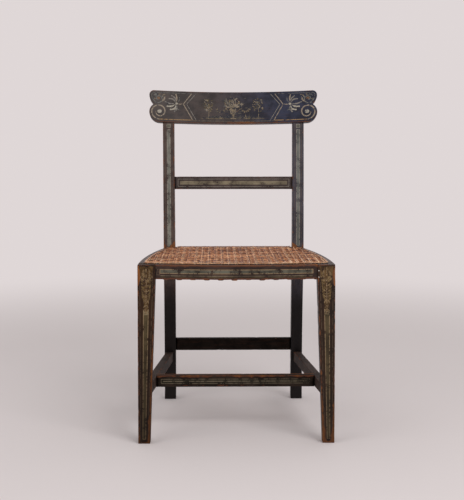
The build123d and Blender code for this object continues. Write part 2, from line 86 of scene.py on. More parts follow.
class Recipe:
    """One material. Each method adds a node and gives back its output."""

    def __init__(self, name):
        self.material = bpy.data.materials.new(name)
        self.material.use_nodes = True
        self.tree = self.material.node_tree
        self.shader = self.tree.nodes["Principled BSDF"]

    def plug(self, socket, value):
        """Links an output to a socket, or sets a plain number or colour on it."""
        if isinstance(value, bpy.types.NodeSocket):
            self.tree.links.new(value, socket)
        else:
            socket.default_value = value

    def add(self, kind, inputs, output=0, **settings):
        """Adds a node of a kind, fills its sockets and settings, and gives one output back."""
        node = self.tree.nodes.new("ShaderNode" + kind)
        for key, value in settings.items():
            setattr(node, key, value)
        for socket, value in inputs.items():
            self.plug(node.inputs[socket], value)
        return node.outputs[output]

    def number(self, name):
        """A number that the mesh carries for each of its points."""
        return self.add("Attribute", {}, 2, attribute_name=name)

    def place(self, name):
        """A position that the mesh carries for each of its points."""
        return self.add("Attribute", {}, 1, attribute_name=name)

    def sum(self, operation, a, b=0.0, c=0.0):
        """One sum on plain numbers, named as the Math node names it."""
        return self.add("Math", {0: a, 1: b, 2: c}, operation=operation)

    def times(self, a, b):
        """The product of two numbers."""
        return self.sum("MULTIPLY", a, b)

    def apart(self, a, b):
        """How far two numbers are apart."""
        return self.sum("ABSOLUTE", self.sum("SUBTRACT", a, b))

    def swayed(self, base, noise, amount):
        """Base, pushed up and down by a noise that swings about a half."""
        return self.sum("MULTIPLY_ADD", self.sum("SUBTRACT", noise, 0.5), amount, base)

    def axis(self, where, number):
        """One of the three coordinates of a position."""
        return self.add("SeparateXYZ", {0: where}, number)

    def noise(self, where, scale, detail):
        """Cloudy noise from 0 to 1: finer with more scale, and richer with more detail."""
        return self.add("TexNoise", {"Vector": where, "Scale": scale, "Detail": detail})

    def stretched(self, where, along):
        """The same positions squeezed along the stick, so that noise draws out into streaks."""
        return self.add("VectorMath", {0: where, 1: (1, 1, along)}, operation="MULTIPLY")

    def step(self, value, low, high):
        """0 below low, 1 above high, and a soft change between them."""
        inputs = {"Value": value, "From Min": low, "From Max": high}
        return self.add("MapRange", inputs, interpolation_type="SMOOTHSTEP")

    def mix(self, share, first, second):
        """Two colours mixed: the first at share 0, the second at share 1."""
        inputs = {0: share, 6: first, 7: second}
        return self.add("Mix", inputs, 2, data_type="RGBA")

    def bump(self, height, depth):
        """The relief that a height from 0 to 1 gives a surface, so many metres deep."""
        return self.add("Bump", {"Height": height, "Distance": depth, "Strength": 1.0})

    def done(self, surface, roughness, normal):
        """Plugs the three results into the shader, and gives the finished material back."""
        for socket, value in (("Base Color", surface), ("Roughness", roughness), ("Normal", normal)):
            self.plug(self.shader.inputs[socket], value)
        print("material", self.material.name, "has", len(self.tree.nodes), "nodes")
        return self.material


def colour(red, green, blue):
    """A colour as the nodes want it, with its fourth number."""
    return (red, green, blue, 1.0)


def methods(kind):
    """The names of what a class can do."""
    return ", ".join(name for name in vars(kind) if not name.startswith("_"))


print("a recipe has", methods(Recipe))

# %% [markdown]
# ## Floor, sky and lamps
# The setting is a plain pale floor under an even, pale sky. Far from the chair the floor takes
# the colour of the sky, so no horizon shows. Near the chair it is an ordinary matt surface that
# catches the shadow. The light is soft and plain: a bright sky, one large lamp high in front
# and a weaker one to the left. Stronger lamps would make the floor pale too, but they would wash
# out the dark paint, so the paleness lies in the colours.

# %% The floor
PALE = colour(0.74, 0.68, 0.68)
FLOOR_REACH = 30.0  # half the width of the floor
SHADOW_RADIUS = 1.1  # floor that catches the shadow, round the chair
FADE_RADIUS = 3.0  # from here on the floor has the colour of the sky


def background_ray(recipe):
    """1 for rays that come from the camera, a mirror or a glass, and 0 for light that is spread."""
    node = recipe.tree.nodes.new("ShaderNodeLightPath")
    either = recipe.sum("MAXIMUM", node.outputs["Is Camera Ray"], node.outputs["Is Glossy Ray"])
    return recipe.sum("MAXIMUM", either, node.outputs["Is Transmission Ray"])


def pale_floor():
    """A matt floor near the chair, which glows far from it in the colour of the sky."""
    recipe = Recipe("pale floor")
    where = recipe.add("TexCoord", {}, 3)
    distance = recipe.add("VectorMath", {0: where}, 1, operation="LENGTH")
    far = recipe.step(distance, SHADOW_RADIUS, FADE_RADIUS)
    share = recipe.times(far, background_ray(recipe))
    glow = recipe.add("Emission", {"Color": PALE, "Strength": 1.0})
    recipe.shader.inputs["Base Color"].default_value = PALE
    recipe.shader.inputs["Roughness"].default_value = 0.9
    recipe.shader.inputs["Specular IOR Level"].default_value = 0.0
    both = recipe.add("MixShader", {0: share, 1: recipe.shader.outputs[0], 2: glow})
    recipe.tree.links.new(both, recipe.tree.nodes["Material Output"].inputs["Surface"])
    return recipe.material


floor_mesh = bpy.data.meshes.new("floor")
corners = [(-1, -1), (1, -1), (1, 1), (-1, 1)]
floor_mesh.from_pydata([(x * FLOOR_REACH, y * FLOOR_REACH, 0) for x, y in corners], [], [range(4)])
floor_mesh.materials.append(pale_floor())
floor = bpy.data.objects.new("floor", floor_mesh)
bpy.context.scene.collection.objects.link(floor)
print("the floor is", 2 * FLOOR_REACH, "m wide")

# %% The sky
SKY_LIGHT = 0.62
world = bpy.data.worlds.new("sky")
world.use_nodes = True
bpy.context.scene.world = world
sky = world.node_tree.nodes["Background"]
sky.inputs["Color"].default_value = colour(1.0, 0.98, 0.97)
sky.inputs["Strength"].default_value = SKY_LIGHT
seen = world.node_tree.nodes.new("ShaderNodeBackground")
seen.inputs["Color"].default_value = PALE
path = world.node_tree.nodes.new("ShaderNodeLightPath")
either = world.node_tree.nodes.new("ShaderNodeMath")
either.operation = "MAXIMUM"
blend = world.node_tree.nodes.new("ShaderNodeMixShader")
for output, socket in (
    (path.outputs["Is Camera Ray"], either.inputs[0]),
    (path.outputs["Is Glossy Ray"], either.inputs[1]),
    (either.outputs[0], blend.inputs[0]),
    (sky.outputs[0], blend.inputs[1]),
    (seen.outputs[0], blend.inputs[2]),
    (blend.outputs[0], world.node_tree.nodes["World Output"].inputs["Surface"]),
):
    world.node_tree.links.new(output, socket)
print("the sky's light has a strength of", SKY_LIGHT)

# %% The lamps
LIT_HEIGHT = 0.45  # the lamps look at the seat


def lamp(name, place, size, watts):
    """Large square lamp that looks at the seat."""
    data = bpy.data.lights.new(name, "AREA")
    data.size = size
    data.energy = watts
    made = bpy.data.objects.new(name, data)
    made.location = place
    toward = Vector((0, 0, LIT_HEIGHT)) - made.location
    made.rotation_euler = toward.to_track_quat("-Z", "Y").to_euler()
    bpy.context.scene.collection.objects.link(made)


lamp("key lamp", (1.6, -2.6, 2.6), size=2.0, watts=55)
lamp("fill lamp", (-2.4, -1.8, 1.4), size=2.0, watts=14)
print(len(bpy.data.lights), "lamps look at the seat")

# %% [markdown]
# ## How a piece is made
# Nearly everything on a chair is a stick: a section that is carried along a line. A leg, a
# rail, a strand of cane and the stroke of a gilder's brush all are, at different sizes. So one
# function lofts rings of points into a closed skin. Cubes could be pulled and bent into most of
# these shapes, but nothing would then tell the paint where an edge is. This mesh carries
# numbers for its points, such as how far a point is from the nearest edge. The materials read
# them, and that is how paint can wear exactly where hands and feet would rub it off.

# %% Lofting and finishing a piece


class Skin:
    """Points, faces and numbers of one piece, gathered before its mesh is made."""

    def __init__(self):
        self.points, self.faces, self.finishes, self.numbers = [], [], [], {}
        self.count = 0

    def loft(self, rings, finish=0, **numbers):
        """Closed skin over rings, an array of rings x points x 3. Numbers are rings x points."""
        rings = np.asarray(rings, float)
        rows, columns = rings.shape[:2]
        index = np.arange(rows * columns).reshape(rows, columns)
        low, high = index[:-1], index[1:]
        quads = np.stack([low, np.roll(low, -1, 1), np.roll(high, -1, 1), high], -1).reshape(-1, 4)
        caps = [index[0][::-1].tolist(), index[-1].tolist()]
        flat = rings.reshape(-1, 3)
        middle = flat.mean(0)
        corner = flat[quads] - middle
        diagonals = np.cross(corner[:, 2] - corner[:, 0], corner[:, 3] - corner[:, 1])
        if (diagonals * corner.mean(1)).sum() < 0:
            quads = quads[:, ::-1]
            caps = [cap[::-1] for cap in caps]
        self.add(flat, (quads + self.count).tolist(), finish, **numbers)
        self.extend([[i + self.count - len(flat) for i in cap] for cap in caps], finish)

    def add(self, points, faces, finish=0, **numbers):
        """Any points and faces. The faces already count from this skin's own first point."""
        self.points.append(np.asarray(points, float).reshape(-1, 3))
        self.extend(faces, finish)
        for name, values in numbers.items():
            self.numbers.setdefault(name, []).append(np.asarray(values, float))
        self.count += len(self.points[-1])

    def extend(self, faces, finish):
        """Faces alone, over points that the skin already has."""
        self.faces += faces
        self.finishes += [finish] * len(faces)

    def piece(self, name, materials, slot, nodes=(), even=True):
        """Makes the mesh, gives it its materials, and lets it stand for its nodes of the frame."""
        mesh = bpy.data.meshes.new(name)
        mesh.from_pydata(np.concatenate(self.points).tolist(), [], self.faces)
        mesh.polygons.foreach_set("material_index", self.finishes)
        mesh.shade_smooth()
        for key, values in self.numbers.items():
            values = np.concatenate([part.reshape(-1) for part in values])
            vector = len(values) == 3 * self.count
            kind, field = ("FLOAT_VECTOR", "vector") if vector else ("FLOAT", "value")
            mesh.attributes.new(key, kind, "POINT").data.foreach_set(field, values)
        for material in materials:
            mesh.materials.append(material)
        made = bpy.data.objects.new(name, mesh)
        bpy.context.scene.collection.objects.link(made)
        if even:
            made.modifiers.new("even shading", "WEIGHTED_NORMAL")
        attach(made, "root")
        if nodes:
            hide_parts(*nodes)
        print(f"{name}: {self.count} points, {len(self.faces)} faces")
        return made


print("a skin has", methods(Skin))

# %% [markdown]
# ## Old paint on beech
# The chair is beech, painted brown-black over a red-brown ground, and varnished. Two centuries
# of hands and feet have worn the edges through: first the red ground shows, then the orange
# wood. The recipe measures the distance to the nearest edge, disturbs it with noise, and lets
# the wood through where the result is small. Long thin streaks are the grain of the wood, which
# telegraphs through the paint. An image on each face could show all this as well, but nodes stay
# sharp from close by, and wear every stick in its own way.
# The green-grey bands between fine pale lines are painted too. A band is a long rectangle on
# the face of a stick. The distance to its border gives the band and the lines around it at
# once, since each line lies at its own distance. Each coat of paint has two colours, a darker
# and a lighter one, because no old coat is even.

# %% The colours of the paint
# The whole chair is one paint, but its ground is set apart piece by piece as painted light and shade:
# the posts and the crest get paler grounds, a painted sheen of the sky on the leaning back, and the rear
# rail and rear stretcher get the darkest, BLACK, as painted shade.
BLACK = (colour(0.004, 0.0025, 0.002), colour(0.011, 0.007, 0.0055))
LEG_BLACK = (colour(0.013, 0.006, 0.003), colour(0.032, 0.015, 0.007))
POST_BLACK = (colour(0.040, 0.027, 0.024), colour(0.073, 0.050, 0.043))
# Painted reflection: the blue shades that the posts turn to on the right, as if they mirrored cool
# light.
POST_BLUE_SHEEN = (colour(0.027, 0.024, 0.031), colour(0.050, 0.044, 0.056))
RAIL_BLACK = (colour(0.021, 0.013, 0.011), colour(0.049, 0.029, 0.023))
CREST_BLACK = (colour(0.0230, 0.0172, 0.0160), colour(0.056, 0.042, 0.038))
# Painted reflection: the blue shades that the crest turns to on the right.
CREST_BLUE_SHEEN = (colour(0.0120, 0.0145, 0.027), colour(0.028, 0.032, 0.058))
CROSS_BLACK = (colour(0.027, 0.018, 0.016), colour(0.062, 0.043, 0.039))
STRETCHER_BROWN = (colour(0.011, 0.008, 0.006), colour(0.030, 0.021, 0.016))
SIDE_BROWN = (colour(0.018, 0.012, 0.010), colour(0.050, 0.034, 0.028))
RED_GROUND = colour(0.095, 0.036, 0.020)
BEECH_DARK = colour(0.100, 0.033, 0.011)
BEECH_LIGHT = colour(0.250, 0.092, 0.026)
GREEN_GREY = (colour(0.045, 0.040, 0.029), colour(0.135, 0.128, 0.096))
SAGE = (colour(0.074, 0.078, 0.068), colour(0.158, 0.162, 0.143))
PALE_SAGE = (colour(0.112, 0.112, 0.094), colour(0.240, 0.234, 0.198))
OLIVE = (colour(0.036, 0.025, 0.011), colour(0.088, 0.064, 0.031))
OCHRE = (colour(0.108, 0.086, 0.056), colour(0.235, 0.194, 0.128))
CAP = (colour(0.115, 0.086, 0.046), colour(0.215, 0.170, 0.100))
DIM_OLIVE = (colour(0.014, 0.012, 0.008), colour(0.040, 0.034, 0.024))
LEAF_GROUND = (colour(0.036, 0.019, 0.006), colour(0.122, 0.068, 0.024))
CHIP = (colour(0.55, 0.48, 0.40), colour(0.75, 0.70, 0.62))
PALE_TOP = (colour(0.062, 0.048, 0.038), colour(0.125, 0.098, 0.074))
LINE_PALE = colour(0.310, 0.280, 0.230)
LINE_OCHRE = colour(0.300, 0.210, 0.118)
LINE_BROWN = colour(0.105, 0.070, 0.046)
LINE_DIM = colour(0.200, 0.160, 0.108)
print("the black paint lies between", BLACK[0][:3], "and", BLACK[1][:3])

# %% The layers of the painted finish
SOFT = 0.00025  # metres over which a painted border blurs
GRAIN_SQUEEZE = 0.035  # draws the noise of the grain out along the stick
GRAIN, CLOUDS, PATCHES, SPECKS = 620, 17, 62, 380  # scales of noise: the higher, the finer
# Painted reflection: over this span, left to right, a paint turns to its cool shades.
COOL_SHEEN_SPAN = (-0.10, 0.15)  # from here to there, left to right, a paint turns cooler
BAND_RAGGED = 0.0008  # metres by which a band's border wanders
RUB_REACH = 0.012  # metres by which a rub of 1 widens the worn edge
WORN_RAGGED = (0.013, 0.004, 0.003)  # metres by which patches, specks and streaks shift it
RELIEF = 0.00018  # depth of the grain in metres


class PaintedWood(Recipe):
    """Dark paint on beech: what all its layers share, and a method for each layer."""

    def __init__(self, name):
        super().__init__(name)
        stock = self.place("stock")
        self.edge = self.number("edge")
        self.chair = self.add("TexCoord", {}, 3)  # the place in the chair itself
        self.streaks = self.noise(self.stretched(stock, GRAIN_SQUEEZE), GRAIN, 4.0)
        self.patches = self.noise(stock, PATCHES, 4.0)
        self.specks = self.noise(stock, SPECKS, 3.0)
        self.mottled = self.swayed(self.noise(stock, CLOUDS, 3.0), self.patches, 0.8)
        self.thin = self.swayed(self.patches, self.specks, 0.9)  # low where paint has rubbed away
        self.front = self.step(self.number("front"), 0.5, 0.55)

    def coat(self, shades):
        """One coat of paint, mottled between its darker and its lighter shade."""
        return self.mix(self.step(self.mottled, 0.3, 0.7), *shades)

    def line(self, distance, half_width, kept):
        """1 on a thin painted line, 0 beside it and where it has rubbed away."""
        drawn = self.step(distance, half_width + SOFT, half_width - SOFT)
        return self.times(self.times(drawn, self.front), self.step(self.thin, *kept))

    def border(self, band):
        """Distance in metres to the border of a band, negative inside it."""
        across = self.apart(self.number("across"), band["centre"])
        along = self.number("along")
        half = self.sum("MULTIPLY_ADD", along, band["taper"], band["half_width"])
        beside = self.sum("SUBTRACT", across, half)
        top = self.sum("MULTIPLY_ADD", across, band["notch"], band["end"])
        beyond = self.sum("SUBTRACT", along, top)
        before = self.sum("SUBTRACT", band["start"], along)
        return self.sum("MAXIMUM", beside, self.sum("MAXIMUM", beyond, before))

    def banded(self, paint, band):
        """A band over the paint, with the fine lines that run round it."""
        ragged = self.swayed(self.border(band), self.specks, BAND_RAGGED)
        kept = self.step(self.thin, band["lost"], band["lost"] + 0.14)
        share = self.times(self.times(self.step(ragged, SOFT, -SOFT), kept), self.front)
        tone = self.swayed(self.mottled, self.streaks, 0.7)
        fill = self.mix(self.step(tone, 0.25, 0.75), *band["fill"])
        paint = self.mix(self.times(share, 0.92), paint, fill)
        for offset, half_width in band["lines"]:
            share = self.line(self.apart(ragged, offset), half_width, (0.33, 0.5))
            paint = self.mix(self.times(share, 0.9), paint, band["line"])
        return paint

    def worn(self, paint, wear, ground_width):
        """Wears the paint through to the red ground and the wood. Also gives the share of wood."""
        rubbed = self.sum("MULTIPLY_ADD", self.number("rub"), -RUB_REACH, self.edge)
        for noise, reach in zip((self.patches, self.specks, self.streaks), WORN_RAGGED):
            rubbed = self.swayed(rubbed, noise, reach)
        ground = wear + ground_width
        thinned = self.step(rubbed, ground + 0.0004, ground - 0.0010)
        bare = self.step(rubbed, wear + 0.0003, wear - 0.0005)
        wood = self.mix(self.step(self.streaks, 0.3, 0.7), BEECH_DARK, BEECH_LIGHT)
        return self.mix(bare, self.mix(thinned, paint, RED_GROUND), wood), bare


print("painted wood adds", methods(PaintedWood))

# %% The whole painted finish


def painted_wood(name, ground, bands, wear, ground_width=0.0015, cool_sheen=None, rim=None, low_shade=None,
                 shine=0.2):
    """Dark paint on beech, worn through where a point is nearer an edge than wear.

    Ground is the darker and the lighter colour of the paint. The cool shades are a painted
    reflection: the colours it turns to towards the right, as if it mirrored cool light. Ground
    width is how far the red ground shows beside the bare wood. Rim is a thin line round the face:
    its distance from the edge and half width. The low shade is painted shade that darkens the
    paint towards the floor: a height where it is full, the height at which it has thinned to
    nothing, and its share.
    """
    recipe = PaintedWood(name)
    recipe.shader.inputs["Specular IOR Level"].default_value = shine
    paint = recipe.coat(ground)
    # painted reflection of cool light, stronger towards the right
    if cool_sheen:
        to_right = recipe.step(recipe.axis(recipe.chair, 0), *COOL_SHEEN_SPAN)
        paint = recipe.mix(to_right, paint, recipe.coat(cool_sheen))
    grain = recipe.times(recipe.step(recipe.streaks, 0.5, 0.75), 0.22)
    paint = recipe.mix(grain, paint, RED_GROUND)
    if rim:
        distance, half_width = rim
        line = recipe.line(recipe.apart(recipe.edge, distance), half_width, (0.38, 0.55))
        paint = recipe.mix(line, paint, LINE_BROWN)
    for band in bands:
        paint = recipe.banded(paint, band)
    surface, bare = recipe.worn(paint, wear, ground_width)
    if low_shade:  # painted shade that lies thick low down and thins towards the top
        full, clear, share = low_shade
        low = recipe.step(recipe.axis(recipe.chair, 2), clear, full)
        surface = recipe.mix(recipe.times(low, share), surface, BLACK[0])

    roughness = recipe.sum("MULTIPLY_ADD", recipe.patches, 0.25, 0.62 - 1.7 * shine)
    roughness = recipe.sum("MULTIPLY_ADD", bare, 0.2, roughness)
    relief = recipe.sum("MULTIPLY_ADD", recipe.streaks, 0.5, recipe.times(recipe.specks, 0.35))
    relief = recipe.sum("MULTIPLY_ADD", bare, -0.7, relief)
    return recipe.done(surface, roughness, recipe.bump(relief, RELIEF))


OUTLINE = ((0.0010, 0.0007),)  # one fine line 1 mm outside a band


def band(half_width, start, end, fill, line=LINE_PALE, lines=(), centre=0.0, taper=0.0, notch=0.0,
         lost=0.28):
    """One painted band: its half width, its ends along the stick, its fill, and how much is lost.

    Lines are the distances of the fine lines around it, each with its half width. Taper widens
    the band along the stick, and notch cuts a V into its end.
    """
    return dict(half_width=half_width, start=start, end=end, fill=fill, line=line, lines=lines,
                centre=centre, taper=taper, notch=notch, lost=lost)


print("a band is told by its", ", ".join(band(0.004, -0.1, 0.1, SAGE)))

# %% [markdown]
# ## A stick of wood
# A joiner planes a stick square and then takes the sharp edges off. The section here is a
# rectangle with small round corners, and each station along the stick gives its middle, its two
# directions and its two half sizes, so legs can taper and posts can curve. Ends that go into a
# neighbour are closed flat inside it. Ends that show are eased like the edges. A bevel modifier
# would round the edges too, but it adds points that carry no distance for the paint to read. A
# few small dents are pressed into the edges, as every old chair has them.

# %% The section and the ends of a stick
EASE = 0.0013  # radius of the eased edges
SMALLEST_EASE = 0.0002
CORNER_STEPS = 3
SIDE_STEPS = (8, 6, 8, 6)  # along the painted face, then along the other three
SINK = 0.0008  # how far a hidden end goes into its neighbour
END_TURNS = (0.5, 1.05, math.pi / 2)  # an end that shows is eased through these angles
END_INSETS = (0.0022, 0.006, 0.011)  # rings on its face, in from the edge


def section(half_u, half_v, inset):
    """Ring of a stick: u and v, distance to the nearest edge, and 1 on the painted face."""
    radius = max(EASE - inset, SMALLEST_EASE)
    a, b = half_u - inset - radius, half_v - inset - radius
    corners = [(a, -b), (a, b), (-a, b), (-a, -b)]
    outward = [(0, -1), (1, 0), (0, 1), (-1, 0)]
    ring = []
    for side, (nu, nv) in enumerate(outward):
        (u0, v0), (u1, v1) = corners[side - 1], corners[side]
        length = abs(u1 - u0) + abs(v1 - v0)
        for step in range(SIDE_STEPS[side] + 1):
            t = step / SIDE_STEPS[side]
            u, v = u0 + (u1 - u0) * t + radius * nu, v0 + (v1 - v0) * t + radius * nv
            ring.append((u, v, length * min(t, 1 - t), side == 0))
        for step in range(1, CORNER_STEPS):
            turn = math.atan2(nv, nu) + math.pi / 2 * step / CORNER_STEPS
            ring.append((u1 + radius * math.cos(turn), v1 + radius * math.sin(turn), 0.0, 0.0))
    return np.array(ring, float)


def eased_end(station, sign):
    """The rings of an end that shows, from the full section to the middle of the end's face."""
    eased = [(EASE * (1 - math.cos(turn)), EASE * (1 - math.sin(turn))) for turn in END_TURNS]
    eased += [(inset, 0.0) for inset in END_INSETS]
    return [(station, 0.0, sign * EASE)] + [(station, inset, sign * drop) for inset, drop in eased]


print("each ring of a stick has", len(section(0.02, 0.02, 0.0)), "points")

# %% A stick and its dents
DENT_REACH, DENT_DEPTH = (0.003, 0.009), (0.0002, 0.0007)  # smallest and largest


def stick(name, stations, material, node, seed, dents, shown_ends=(False, False), rub=None):
    """A piece of wood through stations, each (middle, u, v, half_u, half_v, along)."""
    stations = list(stations)
    forward = (Vector(stations[-1][0]) - Vector(stations[0][0])).normalized()
    plan = [(station, 0.0, 0.0) for station in stations]
    if shown_ends[0]:
        plan = eased_end(stations[0], 1)[::-1] + plan[1:]
    if shown_ends[1]:
        plan = plan[:-1] + eased_end(stations[-1], -1)
    rings, numbers = [], {key: [] for key in ("edge", "front", "across", "along", "stock")}
    for (middle, u_axis, v_axis, half_u, half_v, along), inset, shift in plan:
        u, v, edge, front = section(half_u, half_v, inset).T
        u_axis, v_axis = Vector(u_axis), Vector(v_axis)
        axis = u_axis.cross(v_axis)
        axis = axis if axis.dot(forward) > 0 else -axis
        origin = np.array(Vector(middle) + axis * shift)
        rings.append(origin + np.outer(u, u_axis) + np.outer(v, v_axis))
        on_end = inset > 0.0 or shift != 0.0
        numbers["edge"].append(np.full(len(u), inset) if on_end else edge)
        numbers["front"].append(front * (inset == 0.0))
        numbers["across"].append(u)
        numbers["along"].append(np.full(len(u), along))
        numbers["stock"].append(np.stack([u, v, np.full(len(u), along + seed)], -1))
    rings = dented(np.array(rings), np.array(numbers["edge"]), seed, dents)
    numbers["rub"] = [[rub(point) if rub else 0.0 for point in ring] for ring in rings]
    skin = Skin()
    skin.loft(rings, **{key: np.array(values) for key, values in numbers.items()})
    return skin.piece(name, [material], "painted_wood", [node])


def dented(rings, edges, seed, dents):
    """Presses small hollows into the edges, at random places that are the same each time."""
    random = np.random.default_rng(seed)
    middles = rings.mean(1, keepdims=True)
    on_edge = np.argwhere(edges == 0.0)
    for _ in range(dents):
        row, column = on_edge[random.integers(len(on_edge))]
        reach, depth = random.uniform(*DENT_REACH), random.uniform(*DENT_DEPTH)
        distance = np.linalg.norm(rings - rings[row, column], axis=-1, keepdims=True)
        press = depth * np.clip(1 - (distance / reach) ** 2, 0, 1)
        inward = middles - rings
        rings = rings + inward / np.linalg.norm(inward, axis=-1, keepdims=True).clip(1e-6) * press
    return rings


print("dents are", DENT_DEPTH[0], "to", DENT_DEPTH[1], "m deep")

# %% Arcs, straight lines and soft limits


def tangent_arc(start, heading, end, count):
    """Points on the arc that leaves start in the direction heading and arrives at end."""
    start, heading, end = (np.array(value, float) for value in (start, heading, end))
    chord = end - start
    turn = heading[0] * chord[1] - heading[1] * chord[0]
    radius = chord @ chord / (2 * turn)
    centre = start + radius * np.array([-heading[1], heading[0]])
    first, last = (math.atan2(*(point - centre)[::-1]) for point in (start, end))
    sweep = (last - first) % (2 * math.pi)
    sweep = sweep if radius > 0 else sweep - 2 * math.pi
    angles = first + sweep * np.linspace(0, 1, count + 1)
    return centre + abs(radius) * np.stack([np.cos(angles), np.sin(angles)], -1)


def straight(start, end, step):
    """Evenly spaced points from start to end."""
    start, end = np.array(start, float), np.array(end, float)
    count = max(1, round(np.linalg.norm(end - start) / step))
    return start + (end - start) * np.linspace(0, 1, count + 1)[:, None]


def heights(low, high, step):
    """Evenly spaced numbers from low to high."""
    return straight([low], [high], step)[:, 0]


def fading(distance, reach):
    """1 at no distance, and evenly down to 0 at reach."""
    return max(0.0, 1 - distance / reach)


def limited(value):
    """The value, kept between 0 and 1."""
    return min(1.0, max(0.0, value))


print("an arc that starts upward passes", tangent_arc((0, 0), (0, 1), (1, 1), 2)[1].round(3))

# %% [markdown]
# ## Front legs
# Each front leg runs from the floor to the top of the seat. Its outer and front faces are
# upright and the other two taper, so the foot is two thirds as wide as the top. A box with its
# lower corners pulled in would have that shape, but no points along its edges to wear or dent,
# so the leg is a stick with a ring every few millimetres. A long band between pale lines runs
# down its face, notched at its top, and above it hang painted leaves.

# %% Front legs
STATION_STEP = 0.006  # from ring to ring along a stick
leg_low, leg_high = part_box("right_front_leg")
HALF_FRONT, SEAT_TOP = leg_high.x, leg_high.z
LEG_INNER, FRONT_Y = leg_low.x, leg_low.y
RAIL_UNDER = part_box("front_seat_rail")[0].z
LEG_TOP = (leg_high.x - leg_low.x, leg_high.y - leg_low.y)  # width and depth
LEG_FOOT = (0.0285, 0.026)
RIGHT, BACK, UP = (1, 0, 0), (0, 1, 0), (0, 0, 1)
PANEL_TOP = 0.316  # height of the top of the leg's band
RUBBED_CORNER = 0.403  # height at which the outer corner is worn most
CHIP_HEIGHTS = (0.4155, 0.4000)  # of two chips in the right leg


def leg_size(z):
    """Width and depth of a front leg at height z."""
    share = min(z / RAIL_UNDER, 1.0)
    return [foot + (top - foot) * share for foot, top in zip(LEG_FOOT, LEG_TOP)]


def leg_middle(side, z):
    """Middle of a front leg at height z. Side is -1 for the left leg and 1 for the right."""
    width, depth = leg_size(z)
    return (side * (HALF_FRONT - width / 2), FRONT_Y + depth / 2, z)


def leg_stations(side):
    """Stations of a front leg: tapered up to the seat rails, and square beside them."""
    tapered = heights(0, RAIL_UNDER, STATION_STEP)
    square = heights(RAIL_UNDER + 0.004, SEAT_TOP, STATION_STEP)
    for z in np.concatenate([tapered, square]):
        width, depth = leg_size(z)
        yield leg_middle(side, z), RIGHT, BACK, width / 2, depth / 2, z


def leg_rub(point):
    """The outer corner under the seat is rubbed, and the feet are, on their inner edges most."""
    x, y, z = point
    worn_below, heel_wear = (0.12, 0.50) if x > 0 else (0.23, 0.20)
    from_outside = HALF_FRONT - abs(x)
    corner = fading(from_outside, 0.014) * fading(y - FRONT_Y, 0.012)
    head = limited(1.7 - abs(z - RUBBED_CORNER) / 0.014)
    inner = limited((from_outside / leg_size(z)[0] - 0.7) / 0.2)
    low = limited(0.5 + (worn_below - z) / 0.04)
    foot, heel = fading(z, 0.26), fading(z, 0.075)
    return 0.90 * corner * head + 0.15 * foot + 0.20 * low * inner + heel_wear * heel


print("a front leg tapers from", round(LEG_TOP[0], 4), "to", LEG_FOOT[0], "m in width")

# %% The paint of the legs
leg_band = band(0.0022, 0.012, PANEL_TOP, OLIVE, LINE_OCHRE, OUTLINE, taper=0.0080, notch=1.1)
leg_cap = band(0.0048, PANEL_TOP - 0.0055, PANEL_TOP, CAP, notch=1.1)
leaf_ground = band(-0.0345, PANEL_TOP + 0.003, SEAT_TOP - 0.003, LEAF_GROUND, taper=0.12, lost=0.32)
chips = [band(0.0010, z - 0.0012, z + 0.0012, CHIP, centre=-0.0185) for z in CHIP_HEIGHTS]
# Both legs darken towards the floor as painted shade, the left one more than the right.
for side, hand, losses, shine, low_shade in (
    (-1, "left", [], 0.12, 0.64),
    (1, "right", chips, 0.18, 0.45),
):
    leg_paint = painted_wood(f"{hand} leg paint", LEG_BLACK, [leg_band, leg_cap, leaf_ground, *losses],
                             wear=-0.0010, rim=(0.0044, 0.0005), low_shade=(0.03, 0.36, low_shade),
                             shine=shine)
    stick(f"{hand}_leg_stick", leg_stations(side), leg_paint, f"{hand}_front_leg", seed=3 + side,
          dents=26, shown_ends=(True, True), rub=leg_rub)

# %% [markdown]
# ## Back posts
# Rear leg and back upright are sawn from one plank. Below the seat the post sweeps back to the
# floor, above it leans back to meet the crest rail. Both faces are arcs that run smoothly into
# the upright stretch at the seat, so the side view is drawn once for the front face and once
# for the back face, and each station joins a point of one to the same point of the other. A
# single bent line of even thickness would be simpler, but the post is deepest at the seat and
# grows thinner towards both ends.

# %% Back posts
post_low, post_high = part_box("right_back_post")
SEAT_BACK = post_low.y
POST_WIDTH = 0.0312
POST_DEPTH_AT_FOOT, POST_DEPTH_AT_SEAT, POST_DEPTH_AT_TOP = 0.028, 0.034, 0.024
FOOT_FRONT, FOOT_BACK = post_high.y - POST_DEPTH_AT_FOOT, post_high.y
RAKE = math.radians(11.0)
LEAN = np.array([math.sin(RAKE), math.cos(RAKE)])  # up along the crest, in the side view
ACROSS = np.array([math.cos(RAKE), -math.sin(RAKE)])  # from its front to its back
BACK_LEAN, SHOULDER_HEIGHT = 0.0553, 0.773  # where the crest rests on the posts
SHOULDER = np.array([SEAT_BACK + BACK_LEAN, SHOULDER_HEIGHT])
POST_SPREADS = ((0.0, 0.384), (SEAT_TOP, 0.382), (SHOULDER_HEIGHT, 0.389))  # width over both
POST_BAND_ENDS = (0.436, 0.752)
LEG_ARC_STEPS, STILE_ARC_STEPS = 60, 54


def post_side_view():
    """Front and back face in the side view, as matching points (y, z) from floor to top."""
    faces = []
    back_top = SHOULDER + ACROSS * POST_DEPTH_AT_TOP
    for foot, seat, top in (
        (FOOT_FRONT, SEAT_BACK, SHOULDER),
        (FOOT_BACK, SEAT_BACK + POST_DEPTH_AT_SEAT, back_top),
    ):
        leg = tangent_arc((foot, 0), (0, 1), (seat, RAIL_UNDER), LEG_ARC_STEPS)
        upright = straight((seat, RAIL_UNDER), (seat, SEAT_TOP), STATION_STEP)[1:-1]
        stile = tangent_arc(top, -LEAN, (seat, SEAT_TOP), STILE_ARC_STEPS)[::-1]
        faces.append(np.concatenate([leg, upright, stile]))
    return faces


